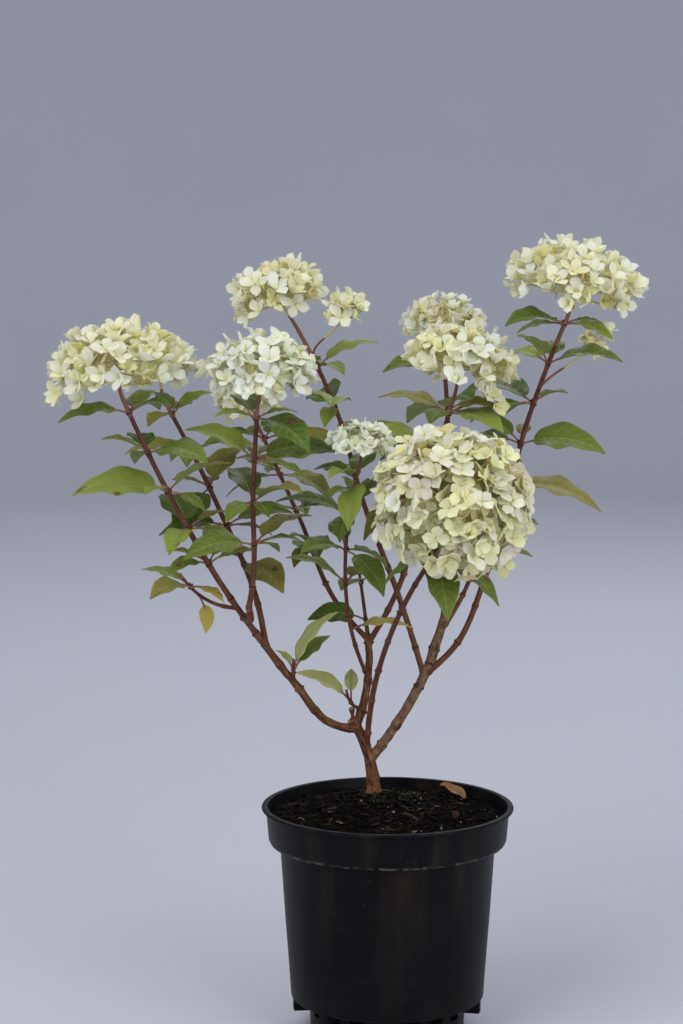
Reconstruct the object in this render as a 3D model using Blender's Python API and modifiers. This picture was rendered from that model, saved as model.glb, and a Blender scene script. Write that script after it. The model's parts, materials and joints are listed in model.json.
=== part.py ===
"""A panicle hydrangea in its nursery pot, as separate solids in metres, +Z up.

The origin is the middle of the pot's flat underside. +X is to the right of the plant's front and
+Y runs to its back. The pot and its soil carry a short trunk, whose boughs fork into canes. Each
cane is bare wood below and a leafy shoot above, and ends under a domed flower head.
"""

import math
import random
from dataclasses import dataclass
from functools import lru_cache

import bmesh
import bpy
import numpy as np
from mathutils import Matrix, Vector

# Clearance between solids that meet.
GAP = 0.0003
# Faces that lie this nearly in one plane are made one.
FLAT = math.radians(0.6)
SPLIT_EASE = 0.003

# Pot: a plain turned nursery pot with a collar, a rolled lip and a narrower foot between lugs.
POT_HEIGHT = 0.200
LIP_RADIUS = 0.110
LIP_THICKNESS = 0.003
COLLAR_TOP_RADIUS = 0.1062
COLLAR_FOOT_RADIUS = 0.104
COLLAR_FOOT = 0.168
BODY_TOP_RADIUS = 0.094
BODY_FOOT_RADIUS = 0.0848
BODY_FOOT = 0.030
FOOT_RADIUS = 0.0675
WALL = 0.0016
ROUND_STEPS = 32
LUG_COUNT = 9
LUG_TURN = math.radians(-13)
LUG_FOOT = 0.018
LUG_INNER = 0.0677
LUG_OUTER = 0.0832
LUG_WIDTH = 0.009
DRAIN_WIDTH = 0.013
DRAIN_HEIGHT = 0.011
DRAIN_DEPTH = 0.0096

# Soil: its edge lies below the lip, and it rises by rings to a level seat under the trunk.
SOIL_EDGE = 0.1905
SOIL_SEAT = 0.2000
SEAT_RADIUS = 0.014
SOIL_RINGS = ((0.030, 0.1972), (0.055, 0.1940), (0.080, 0.1917))
SOIL_BUMP = 0.0009

# Trunk: it flares where it meets the soil.
TRUNK_FOOT = (-0.012, 0.045)
FLARE_RADIUS = 0.0072
FLARE_HEIGHT = 0.0075
TRUNK_SPARE = 0.08

# Tubes: boughs have eight sides and canes six, with a point this often.
BOUGH_SIDES = 8
CANE_SIDES = 6
TUBE_SPACING = 0.022
BEAD_SPACING = 0.004
FORK_REACH = 0.03

# Leaves: opposite pairs, each pair turned a quarter from the next. Angles are in degrees.
PAIR_SPACING = 0.038
TOP_PAIR_DROP = 0.014
PETIOLE = 0.012
STALK_HALF = 0.0009
LEAF_LENGTH = 0.074
LEAF_WIDTH = 0.041
LEAF_THICKNESS = 0.0010
LEAF_FOLD = 18
LEAF_RISE = 32
LEAF_DROOP = 5
LEAF_BEND = 56
LEAF_SIZES = (0.82, 1.08)
PAIR_LOSS = 0.12
FULL_PAIR = 1.5
TURN_VARIES = 14
RISE_VARIES = 9
ROLL_VARIES = 30
# Leaves lean towards the light, which comes from the front.
LIGHT_LEAN = 22
# How far a leaf follows the slope of the limb that bears it.
SLOPE_SHARE = 0.35
# The blade's outline swells by one power of the way along it and is drawn out by another.
SWELL = 0.55
DRAW_OUT = 0.9
FULL_AT = SWELL / (SWELL + DRAW_OUT)
FULL_SCALE = 1 / (FULL_AT**SWELL * (1 - FULL_AT) ** DRAW_OUT)
SECTIONS = (0.30, 0.66)
# Clearances of a leaf from other leaves, limbs and heads, and how near its root it may touch.
LEAF_CLEAR = 0.0065
SAME_SHOOT_CLEAR = 0.0039
LIMB_CLEAR = 0.0040
HEAD_CLEAR = 0.0040
ROOT_FREE = 0.016
# A leaf that would touch something is tried again, as (lift, swing, scale).
LEAF_TRIES = (
    (0, 0, 1.0), (-20, 12, 1.0), (16, -14, 0.95), (-38, -10, 0.9), (8, 26, 0.9),
    (-12, -30, 0.85), (0, 0, 0.74), (-30, 20, 0.7), (24, -20, 0.62),
)

# Flower heads: domes of florets that are open below.
HEAD_LOWEST = -0.42
CORE_LOWEST = -0.38
CORE_INSET = 0.0110
FLORET_LEAST = 0.010
FLORET_GROWTH = 0.11
FLORET_SPACING = 1.95
FEWEST_FLORETS = 6
FLORET_DEPTH = 0.0165
FLORET_INSET = 0.003
FLORET_CUP = 0.0032
FLORET_NOTCH = 0.60
NECK_DEPTH = 0.0058
FLORET_STALK = 0.0016
STALK_STRAIGHT = 0.004
SIDE_STALK = 0.7
GOLDEN_TURN = math.pi * (3 - math.sqrt(5))


@dataclass(frozen=True)
class Limb:
    """A tapering limb that leaves its parent, runs smoothly through a few points and ends at its tip.

    Its wood is bare up to the share called bare, and leafy above. A limb that is leafy from its
    foot has a bare share of 0, and one with no leaves has 1.
    """

    name: str
    parent: str
    along: float
    through: tuple
    tip: tuple
    foot_radius: float
    tip_radius: float
    bare: float = 1.0
    pairs: int = 0
    turn: float = 0.0
    leaf_scale: float = 1.0
    drop: float = TOP_PAIR_DROP


@dataclass(frozen=True)
class Head:
    """A flower head, on a stalk from its shoot's tip or from its side."""

    name: str
    parent: str
    along: float
    centre: tuple
    width: float
    height: float


BOUGHS = (
    Limb("trunk", "", 0, ((-0.016, 0.045, 0.234),), (-0.031, 0.039, 0.268), 0.0052, 0.0044),
    Limb("right_bough", "trunk", 0.42, ((0.014, 0.049, 0.270),), (0.038, 0.050, 0.316),
         0.0043, 0.0040),
    Limb("left_bough", "trunk", 0.86, ((-0.050, 0.029, 0.267), (-0.081, 0.010, 0.306)),
         (-0.110, 0.000, 0.346), 0.0036, 0.0031),
    Limb("centre_bough", "trunk", 0.90, ((-0.019, 0.041, 0.290),), (-0.017, 0.050, 0.342),
         0.0037, 0.0031),
    Limb("right_stub", "right_bough", 1.0, ((0.046, 0.060, 0.338),), (0.054, 0.070, 0.360),
         0.0041, 0.0040),
)

CANES = (
    Limb("front_cane", "trunk", 0.56, ((-0.014, 0.020, 0.287), (-0.003, -0.018, 0.340)),
         (0.041, -0.104, 0.441), 0.0027, 0.0020, 0.74, 1, 60),
    Limb("left_outer_cane", "left_bough", 1.0, ((-0.137, -0.002, 0.384), (-0.170, -0.024, 0.444)),
         (-0.224, -0.048, 0.560), 0.0028, 0.0019, 0.26, 5, 4),
    Limb("left_inner_cane", "left_bough", 0.95, ((-0.112, 0.014, 0.370), (-0.148, 0.050, 0.454)),
         (-0.198, 0.088, 0.546), 0.0027, 0.0018, 0.26, 5, 60),
    Limb("left_spur", "left_outer_cane", 0.10, ((-0.1195, -0.010, 0.366),),
         (-0.120, -0.018, 0.377), 0.0032, 0.0029),
    Limb("left_front_cane", "left_spur", 1.0, ((-0.116, -0.026, 0.402), (-0.115, -0.042, 0.474)),
         (-0.110, -0.066, 0.557), 0.0024, 0.0018, 0.20, 4, 86),
    Limb("left_twig", "left_outer_cane", 0.14, ((-0.148, -0.004, 0.378),), (-0.180, -0.004, 0.405),
         0.0017, 0.0013, 0.40, 2, 70, 0.84),
    Limb("inner_cane", "right_bough", 0.88,
         ((0.012, 0.053, 0.372), (-0.021, 0.056, 0.460), (-0.044, 0.046, 0.540)),
         (-0.078, 0.036, 0.613), 0.0027, 0.0018, 0.44, 4, 4, 1.0, 0.037),
    Limb("back_cane", "right_stub", 1.0, ((0.058, 0.108, 0.443),), (0.053, 0.148, 0.585),
         0.0028, 0.0019, 0.26, 4, 20),
    Limb("right_cane", "right_bough", 0.90,
         ((0.058, 0.045, 0.330), (0.087, 0.030, 0.400), (0.121, 0.004, 0.540)),
         (0.150, -0.020, 0.624), 0.0028, 0.0019, 0.42, 5, 35, 1.0, 0.004),
    Limb("thin_cane", "centre_bough", 0.55, ((-0.033, 0.002, 0.360), (-0.036, -0.040, 0.440)),
         (-0.025, -0.068, 0.506), 0.0019, 0.0014, 0.20, 4, 80, 0.85),
    Limb("rear_left_cane", "centre_bough", 0.95, ((-0.043, 0.066, 0.366), (-0.078, 0.098, 0.440)),
         (-0.116, 0.124, 0.522), 0.0024, 0.0016, 0.26, 4, 20, 0.9),
    Limb("middle_cane", "centre_bough", 0.92, ((0.010, 0.030, 0.388), (0.030, 0.012, 0.466)),
         (0.055, -0.014, 0.556), 0.0026, 0.0018, 0.32, 4, 10),
    Limb("rear_right_cane", "right_stub", 0.60, ((0.078, 0.108, 0.388),), (0.092, 0.146, 0.434),
         0.0023, 0.0016, 0.34, 3, 50, 0.9),
    Limb("centre_twig", "centre_bough", 1.0, ((-0.021, 0.056, 0.372),), (-0.025, 0.064, 0.400),
         0.0018, 0.0013, 0.0, 2, 75, 0.75),
    Limb("low_twig", "centre_bough", 0.20, ((-0.029, 0.034, 0.281),), (-0.036, 0.026, 0.297),
         0.0016, 0.0012, 0.0, 1, 10, 0.66),
    Limb("left_low_twig", "left_bough", 0.62, ((-0.082, 0.003, 0.314),), (-0.082, -0.004, 0.330),
         0.0016, 0.0012, 0.0, 1, 20, 0.75),
)

HEADS = (
    Head("left_outer_head", "left_outer_cane", 1.0, (-0.228, -0.055, 0.586), 0.124, 0.080),
    Head("left_inner_head", "left_inner_cane", 1.0, (-0.203, 0.094, 0.571), 0.084, 0.062),
    Head("left_front_head", "left_front_cane", 1.0, (-0.105, -0.075, 0.581), 0.100, 0.076),
    Head("inner_head", "inner_cane", 1.0, (-0.094, 0.040, 0.641), 0.096, 0.068),
    Head("inner_side_head", "inner_cane", 0.905, (-0.035, 0.000, 0.630), 0.044, 0.036),
    Head("thin_head", "thin_cane", 1.0, (-0.023, -0.075, 0.523), 0.060, 0.040),
    Head("rear_left_head", "rear_left_cane", 1.0, (-0.128, 0.132, 0.540), 0.066, 0.048),
    Head("middle_head", "middle_cane", 1.0, (0.061, -0.020, 0.588), 0.102, 0.070),
    Head("back_head", "back_cane", 1.0, (0.053, 0.152, 0.611), 0.080, 0.058),
    Head("right_head", "right_cane", 1.0, (0.157, -0.020, 0.653), 0.124, 0.077),
    Head("right_side_head", "right_cane", 0.80, (0.179, 0.016, 0.604), 0.038, 0.038),
    Head("front_head", "front_cane", 1.0, (0.050, -0.130, 0.480), 0.142, 0.134),
    Head("rear_right_head", "rear_right_cane", 1.0, (0.096, 0.155, 0.458), 0.080, 0.054),
)

# Leaves that are set as seen: pair, place in the pair, bearing, climb to the tip, size and how far
# the blade faces forward, by shoot. A third leaf makes a whorl.
SEEN_LEAVES = {
    "front_cane": (
        (0, 0, -76, -46, 0.75, 0), (0, 1, 160, -33, 0.60, 20), (0, 2, -8, -36, 0.80, 20),
    ),
    "left_outer_cane": (
        (0, 0, 200, -6, 0.72, 15), (0, 1, 60, 18, 0.80, 0), (1, 0, -42, -3, 0.85, 25),
        (1, 1, 109, 11, 0.60, 0), (2, 0, 180, -2, 1.00, 30), (2, 1, -15, 25, 0.72, -5),
        (3, 0, 111, 18, 0.85, 0), (3, 1, -105, -17, 0.60, 10), (4, 0, 67, 20, 0.50, 0),
        (4, 1, 225, -5, 0.50, 20),
    ),
    "left_inner_cane": (
        (0, 0, 73, 23, 0.70, 0), (0, 1, -114, -8, 0.50, 0), (1, 0, 165, 17, 0.70, 15),
        (1, 1, -15, 5, 0.70, 15), (2, 0, 63, 30, 0.75, 0), (2, 1, 231, -18, 0.85, 10),
        (3, 0, 170, 12, 0.70, 20), (3, 1, -10, 12, 0.70, 20), (4, 0, -57, -15, 0.80, 35),
        (4, 1, 120, 10, 0.50, 0),
    ),
    "left_front_cane": (
        (0, 0, -60, 0, 0.85, 30), (0, 1, 113, 14, 0.65, 0), (1, 0, 185, 7, 0.80, 20),
        (1, 1, 5, 5, 0.85, 30), (2, 0, -47, 12, 0.75, 5), (2, 1, 110, 21, 0.75, 0),
        (3, 0, 210, -7, 0.80, 30), (3, 1, 36, 19, 0.75, 0),
    ),
    "left_twig": (
        (0, 0, 165, 17, 0.50, 10), (0, 1, 235, -4, 0.62, 30), (0, 2, -30, 25, 0.45, 0),
        (1, 0, -65, -20, 0.40, 10), (1, 1, 100, 10, 0.40, 0),
    ),
    "inner_cane": ((0, 0, 15, 21, 0.68, 10), (0, 1, -60, -5, 0.50, 0)),
    "right_cane": (
        (0, 0, 215, 0, 0.75, 20), (0, 1, 40, 15, 0.35, 0), (1, 0, 232, 29, 0.60, 15),
        (1, 1, -27, 3, 0.80, 15), (2, 0, 122, 27, 0.95, 10), (2, 1, -50, 16, 0.45, 0),
        (3, 0, -17, -5, 0.90, 35), (3, 1, 165, 0, 0.60, 10), (4, 0, -7, -16, 1.00, 15),
        (4, 1, 175, 5, 0.70, 10),
    ),
    "thin_cane": (
        (1, 0, 185, 48, 0.82, 10), (1, 1, 10, 40, 0.60, 10), (2, 0, 225, 3, 0.60, 30),
        (2, 1, -57, -18, 0.65, 25), (3, 0, 190, 25, 0.65, 10), (3, 1, 60, 10, 0.50, 0),
    ),
    "rear_left_cane": (
        (1, 0, -40, -17, 0.75, 10), (1, 1, 140, 10, 0.70, 10), (2, 0, 49, -6, 0.70, 10),
        (2, 1, 229, 0, 0.60, 10),
    ),
    "middle_cane": (
        (0, 0, 165, 12, 0.75, 10), (0, 1, -45, -11, 0.75, 20), (1, 0, 208, 15, 0.85, 25),
        (1, 1, 29, 1, 0.90, 25),
    ),
    "low_twig": ((0, 0, 180, 28, 0.65, 25), (0, 1, -90, 60, 0.40, 0)),
    "left_low_twig": ((0, 0, 0, 54, 0.78, 20), (0, 1, 236, 42, 0.35, 0), (0, 2, 40, 34, 0.55, 10)),
}

LIMBS = {limb.name: limb for limb in BOUGHS + CANES}


def unit(vector):
    """The vector at a length of 1."""
    vector = np.asarray(vector, float)
    return vector / np.linalg.norm(vector)


@lru_cache(maxsize=None)
def limb_knots(name):
    """The points that a limb runs through, how far along it each lies, and its way at each."""
    limb = LIMBS[name]
    if limb.parent:
        foot = limb_point(limb.parent, limb.along)
    else:
        foot = np.array([*TRUNK_FOOT, SOIL_SEAT + GAP])
    points = np.array([foot, *limb.through, limb.tip])
    steps = np.linalg.norm(np.diff(points, axis=0), axis=1)
    shares = np.concatenate([[0], np.cumsum(steps)]) / steps.sum()
    return points, shares, np.gradient(points, shares, axis=0, edge_order=2)


def limb_point(name, share):
    """The point at this share of a limb's way. Before its foot it runs straight on."""
    points, shares, ways = limb_knots(name)
    if share < 0:
        return points[0] + ways[0] * share
    i = min(max(int(np.searchsorted(shares, share)) - 1, 0), len(points) - 2)
    span = shares[i + 1] - shares[i]
    t = (share - shares[i]) / span
    return (
        (1 + 2 * t) * (1 - t) ** 2 * points[i]
        + t * (1 - t) ** 2 * span * ways[i]
        + t**2 * (3 - 2 * t) * points[i + 1]
        + t**2 * (t - 1) * span * ways[i + 1]
    )


def limb_way(name, share):
    """The direction of a limb at a share of its way."""
    step = 0.01
    low, high = max(0.0, share - step), min(1.0, share + step)
    return unit(limb_point(name, high) - limb_point(name, low))


def limb_radius(name, share):
    """A limb's radius at a share of its way, with the trunk's flare at its foot."""
    limb = LIMBS[name]
    radius = limb.foot_radius + (limb.tip_radius - limb.foot_radius) * share
    if not limb.parent:
        height = limb_point(name, share)[2] - SOIL_SEAT
        radius += (FLARE_RADIUS - limb.foot_radius) * math.exp(-height / FLARE_HEIGHT)
    return radius


def limb_length(name):
    """The length of a limb along its curve."""
    points = [limb_point(name, share) for share in np.linspace(0, 1, 17)]
    return sum(np.linalg.norm(b - a) for a, b in zip(points, points[1:]))


def stretch(name, start, end, spacing=TUBE_SPACING):
    """Points and radii along part of a limb, close enough to look curved.

    Where a limb is split between bare wood and shoot, a point just inside the split keeps the
    two faces there square to the limb, and so parallel.
    """
    length = limb_length(name)
    shares = list(np.linspace(start, end, max(3, round(length * (end - start) / spacing) + 1)))
    ease = SPLIT_EASE / length
    if 0 < start < 1:
        shares.insert(1, start + ease)
    if 0 < end < 1:
        shares.insert(-1, end - ease)
    return [limb_point(name, s) for s in shares], [limb_radius(name, s) for s in shares]


def leafy_start(name):
    """The share of a limb where its leafy shoot begins, clear of the bare wood below it."""
    limb = LIMBS[name]
    return limb.bare + GAP / limb_length(name) if limb.bare else 0.0


def basis(axis):
    """Two directions square to the axis, and the axis, as the columns of a turn."""
    axis = unit(axis)
    side = unit(np.array([1.0, 0, 0]) - axis[0] * axis)
    return np.column_stack([side, np.cross(axis, side), axis])


@dataclass(frozen=True)
class Leaf:
    """A leaf on its petiole, whose midrib runs out along a bearing and arches down."""

    shoot: str
    root: tuple
    bearing: float
    rise: float
    roll: float
    length: float
    width: float

    @property
    def reach(self):
        """The midrib's length with the petiole."""
        return self.length + PETIOLE

    def midrib(self, way):
        """The point at a distance along the petiole and midrib, with its side and upper ways."""
        bend = math.radians(LEAF_BEND)
        angle = self.rise - bend * way / self.reach
        scale = self.reach / bend
        out = scale * (math.sin(self.rise) - math.sin(angle))
        up = scale * (math.cos(angle) - math.cos(self.rise))
        heading = np.array([math.cos(self.bearing), math.sin(self.bearing), 0])
        point = np.array(self.root) + heading * out + np.array([0, 0, up])
        side = np.array([heading[1], -heading[0], 0])
        top = -heading * math.sin(angle) + np.array([0, 0, math.cos(angle)])
        turned_side = side * math.cos(self.roll) + top * math.sin(self.roll)
        turned_top = top * math.cos(self.roll) - side * math.sin(self.roll)
        return point, turned_side, turned_top

    def half_width(self, share):
        """Half the blade's width: full near its base, and drawn out to a point at its tip."""
        return self.width / 2 * FULL_SCALE * share**SWELL * (1 - share) ** DRAW_OUT

    def surface(self, share, across):
        """A point of the folded blade, across from -1 at one edge to 1 at the other."""
        point, side, top = self.midrib(PETIOLE + share * self.length)
        half, fold = self.half_width(share) * across, math.radians(LEAF_FOLD)
        return point + side * half * math.cos(fold) + top * abs(half) * math.sin(fold)

    def samples(self):
        """Points spread over the blade, by which it is kept clear of the rest."""
        return np.array([
            (*self.surface(share, across), 0)
            for share in np.linspace(0.06, 0.98, 10)
            for across in (-0.9, -0.45, 0, 0.45, 0.9)
        ])


def head_frame(head):
    """The head's axis frame and half sizes. It faces along its shoot, turned half way upright."""
    axis = unit(limb_way(head.parent, min(1.0, head.along)) + np.array([0, 0, 1.0]))
    return basis(axis), np.array([head.width / 2, head.width / 2, head.height / 2])


def in_head(head, points, grow):
    """Which of the points lie in the head's dome, grown by a clearance."""
    turn, half = head_frame(head)
    local = (points - np.array(head.centre)) @ turn
    inside = (((local / (half + grow)) ** 2).sum(axis=1) < 1)
    return inside & (local[:, 2] > HEAD_LOWEST * half[2] - grow)


def near(points, others, clear):
    """Whether any point lies within the clearance of the others, whose fourth value is a radius."""
    apart = np.linalg.norm(points[:, None, :] - others[None, :, :3], axis=2)
    return bool((apart - others[None, :, 3] < clear).any())


def limb_beads():
    """Points along every limb, each with the limb's radius there, by limb name."""
    beads = {}
    for name in LIMBS:
        points, radii = stretch(name, 0, 1, BEAD_SPACING)
        beads[name] = np.column_stack([points, radii])
    return beads


def leaf_fits(leaf, beads, placed):
    """Whether a leaf keeps clear of the limbs, the heads and the leaves placed before it."""
    points = leaf.samples()[:, :3]
    for name, line in beads.items():
        if name == leaf.shoot:
            line = line[np.linalg.norm(line[:, :3] - np.array(leaf.root), axis=1) > ROOT_FREE]
        if near(points, line, LIMB_CLEAR):
            return False
    if any(in_head(head, points, HEAD_CLEAR).any() for head in HEADS):
        return False
    if (points[:, 2] < SOIL_SEAT + LEAF_CLEAR).any():
        return False
    for other, spots in placed:
        if near(points, spots, SAME_SHOOT_CLEAR if other.shoot == leaf.shoot else LEAF_CLEAR):
            return False
    return True


def seen_leaf(limb, pair, side):
    """The bearing, rise, roll and size of a leaf that is set as seen."""
    for at, place, bearing, climb, size, facing in SEEN_LEAVES.get(limb.name, ()):
        if (at, place) == (pair, side):
            bearing = math.radians(bearing)
            return bearing, climb + LEAF_BEND / 2, -facing * math.cos(bearing), size
    return None


def ruled_leaf(limb, pair, side, draw):
    """The bearing, rise, roll and size of a leaf that is set by rule."""
    turn = limb.turn + 90 * pair + 180 * side + draw.uniform(-TURN_VARIES, TURN_VARIES)
    turn = math.radians(turn)
    ring = np.array([math.cos(turn), math.sin(turn), 0])
    out = basis(limb_way(limb.name, pair_share(limb, pair))) @ ring
    size = limb.leaf_scale * (1 - PAIR_LOSS * abs(pair - FULL_PAIR)) * draw.uniform(*LEAF_SIZES)
    rise = LEAF_RISE - LEAF_DROOP * pair + draw.uniform(-RISE_VARIES, RISE_VARIES)
    rise += SLOPE_SHARE * math.degrees(math.asin(out[2]))
    bearing = math.atan2(out[1], out[0])
    roll = draw.uniform(-ROLL_VARIES, ROLL_VARIES) - LIGHT_LEAN * math.cos(bearing)
    return bearing, rise, roll, size


def leaf_tries(limb, pair, side, draw):
    """The ways that a leaf may be set at its node, the best one first."""
    root = limb_point(limb.name, pair_share(limb, pair))
    bearing, rise, roll, size = seen_leaf(limb, pair, side) or ruled_leaf(limb, pair, side, draw)
    for lift, swing, scale in LEAF_TRIES:
        yield Leaf(
            limb.name, tuple(root), bearing + math.radians(swing), math.radians(rise + lift),
            math.radians(roll), LEAF_LENGTH * size * scale, LEAF_WIDTH * size * scale,
        )


def pair_share(limb, pair):
    """Where a pair of leaves sits, as a share of the limb's way. The first pair is the top one."""
    spacing = PAIR_SPACING * (1 + limb.leaf_scale) / 2
    return 1 - (limb.drop + pair * spacing) / limb_length(limb.name)


def grow_leaves():
    """All the leaves, by the name of the limb that bears them."""
    beads, placed = limb_beads(), []
    for limb in CANES:
        draw = random.Random(limb.name)
        lowest = leafy_start(limb.name) + BEAD_SPACING / limb_length(limb.name)
        for pair in range(limb.pairs):
            if pair_share(limb, pair) < lowest:
                break
            for side in range(3 if seen_leaf(limb, pair, 2) else 2):
                tries = leaf_tries(limb, pair, side, draw)
                leaf = next((leaf for leaf in tries if leaf_fits(leaf, beads, placed)), None)
                if leaf:
                    placed.append((leaf, leaf.samples()))
    return {limb.name: [leaf for leaf, _ in placed if leaf.shoot == limb.name] for limb in CANES}


def clear_scene():
    """Removes the startup objects and collections."""
    for obj in list(bpy.data.objects):
        bpy.data.objects.remove(obj, do_unlink=True)
    for group in list(bpy.data.collections):
        bpy.data.collections.remove(group)


def new_collection(name):
    """A collection in the scene."""
    group = bpy.data.collections.new(name)
    bpy.context.scene.collection.children.link(group)
    return group


def material(name, colour, roughness):
    """A plain finish in one colour."""
    finish = bpy.data.materials.new(name)
    finish.use_nodes = True
    shader = finish.node_tree.nodes["Principled BSDF"]
    shader.inputs["Base Color"].default_value = (*colour, 1)
    shader.inputs["Roughness"].default_value = roughness
    shader.inputs["Metallic"].default_value = 0
    finish.diffuse_color = (*colour, 1)
    return finish


def mesh_object(name, bm, group):
    """An object that takes its mesh from a bmesh, which is then freed."""
    mesh = bpy.data.meshes.new(name)
    bm.to_mesh(mesh)
    bm.free()
    obj = bpy.data.objects.new(name, mesh)
    group.objects.link(obj)
    return obj


def applied(obj):
    """Turns an object and its modifiers into a plain mesh at the origin, with doubles welded."""
    bpy.context.view_layer.update()
    graph = bpy.context.evaluated_depsgraph_get()
    mesh = bpy.data.meshes.new_from_object(obj.evaluated_get(graph))
    mesh.transform(obj.matrix_world)
    bm = bmesh.new()
    bm.from_mesh(mesh)
    bmesh.ops.remove_doubles(bm, verts=bm.verts, dist=1e-6)
    bm.to_mesh(mesh)
    bm.free()
    name, group = obj.name, obj.users_collection[0]
    bpy.data.objects.remove(obj, do_unlink=True)
    result = bpy.data.objects.new(name, mesh)
    group.objects.link(result)
    return result


def tube(name, points, radii, sides, group, grow=0.0):
    """A closed tube along the points. Growing it widens it and lengthens both its ends."""
    points = [Vector(p) for p in points]
    if grow:
        points[0] += (points[0] - points[1]).normalized() * grow
        points[-1] += (points[-1] - points[-2]).normalized() * grow
    curve = bpy.data.curves.new(name, "CURVE")
    curve.dimensions = "3D"
    curve.bevel_depth = 1.0
    curve.bevel_resolution = (sides - 4) // 2
    curve.use_fill_caps = True
    spline = curve.splines.new("POLY")
    spline.points.add(len(points) - 1)
    for spot, point, radius in zip(spline.points, points, radii):
        spot.co = (*point, 1)
        spot.radius = radius + grow
    obj = bpy.data.objects.new(name, curve)
    group.objects.link(obj)
    return applied(obj)


def keep_largest(obj):
    """Drops loose scraps, and fills sealed hollows by dropping their walls."""
    bm = bmesh.new()
    bm.from_mesh(obj.data)
    left, bodies = set(bm.faces), []
    while left:
        body, edge = [], [left.pop()]
        while edge:
            face = edge.pop()
            body.append(face)
            found = {beside for side in face.edges for beside in side.link_faces} & left
            left -= found
            edge += found
        bodies.append(body)
    bodies.sort(key=lambda body: sum(face.calc_area() for face in body))
    spare = [face for body in bodies[:-1] for face in body]
    bmesh.ops.delete(bm, geom=spare, context="FACES")
    bmesh.ops.dissolve_limit(bm, angle_limit=FLAT, verts=bm.verts, edges=bm.edges)
    bmesh.ops.triangulate(bm, faces=bm.faces)
    bm.to_mesh(obj.data)
    bm.free()


def boolean(obj, others, operation):
    """Joins or cuts an object by others, through one Boolean on their collection."""
    group = new_collection(obj.name + "_others")
    for other in others:
        for home in list(other.users_collection):
            home.objects.unlink(other)
        group.objects.link(other)
    change = obj.modifiers.new(operation.title(), "BOOLEAN")
    change.operation = operation
    change.operand_type = "COLLECTION"
    change.collection = group
    result = applied(obj)
    for other in others:
        bpy.data.objects.remove(other, do_unlink=True)
    bpy.data.collections.remove(group)
    keep_largest(result)
    return result


def turned(name, profile, group):
    """A solid turned about +Z from a profile that runs down its outer side."""
    mesh = bpy.data.meshes.new(name)
    edges = [(i, i + 1) for i in range(len(profile) - 1)]
    mesh.from_pydata([(radius, 0, height) for radius, height in profile], edges, [])
    obj = bpy.data.objects.new(name, mesh)
    group.objects.link(obj)
    screw = obj.modifiers.new("Turn", "SCREW")
    screw.steps = screw.render_steps = ROUND_STEPS
    screw.use_merge_vertices = True
    screw.merge_threshold = 1e-5
    return applied(obj)


def make_pot(plant, cutters):
    """The pot: a thin turned shell on a narrower foot, with lugs and drain slots round the foot."""
    inner_collar = COLLAR_FOOT_RADIUS - WALL
    profile = [
        (COLLAR_TOP_RADIUS - WALL, POT_HEIGHT),
        (LIP_RADIUS - LIP_THICKNESS / 2, POT_HEIGHT),
        (LIP_RADIUS, POT_HEIGHT - LIP_THICKNESS / 2),
        (LIP_RADIUS - LIP_THICKNESS / 2, POT_HEIGHT - LIP_THICKNESS),
        (COLLAR_TOP_RADIUS, POT_HEIGHT - LIP_THICKNESS),
        (COLLAR_FOOT_RADIUS, COLLAR_FOOT + 2 * WALL),
        (COLLAR_FOOT_RADIUS - WALL, COLLAR_FOOT),
        (BODY_TOP_RADIUS, COLLAR_FOOT - WALL),
        (BODY_FOOT_RADIUS, BODY_FOOT),
        (FOOT_RADIUS + WALL, BODY_FOOT),
        (FOOT_RADIUS, 0),
        (0, 0),
        (0, WALL),
        (FOOT_RADIUS - WALL, WALL),
        (FOOT_RADIUS, BODY_FOOT + WALL),
        (BODY_FOOT_RADIUS - WALL, BODY_FOOT + WALL),
        (BODY_TOP_RADIUS - WALL, COLLAR_FOOT),
        (inner_collar - WALL, COLLAR_FOOT + WALL),
        (inner_collar, COLLAR_FOOT + 3 * WALL),
        (COLLAR_TOP_RADIUS - WALL, POT_HEIGHT),
    ]
    pot = turned("pot", profile, plant)
    top = BODY_FOOT + WALL / 2
    lugs = round_the_foot(
        "lug", ((LUG_INNER + LUG_OUTER) / 2, 0, (LUG_FOOT + top) / 2),
        (LUG_OUTER - LUG_INNER, LUG_WIDTH, top - LUG_FOOT), 0, cutters,
    )
    slots = round_the_foot(
        "drain_slot", (FOOT_RADIUS, 0, BODY_FOOT - DRAIN_HEIGHT / 2 - WALL),
        (DRAIN_DEPTH, DRAIN_WIDTH, DRAIN_HEIGHT), 0.5, cutters,
    )
    return boolean(boolean(pot, lugs, "UNION"), slots, "DIFFERENCE")


def round_the_foot(name, place, size, step, group):
    """Blocks round the pot's foot, on the lugs' bearings or part of a step beyond them."""
    blocks = []
    for count in range(LUG_COUNT):
        turn = Matrix.Rotation(LUG_TURN + 2 * math.pi * (count + step) / LUG_COUNT, 4, "Z")
        bm = bmesh.new()
        bmesh.ops.create_cube(
            bm, size=1, matrix=turn @ Matrix.Translation(place) @ Matrix.Diagonal((*size, 1)))
        blocks.append(mesh_object(f"{name}_{count + 1}", bm, group))
    return blocks


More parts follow.
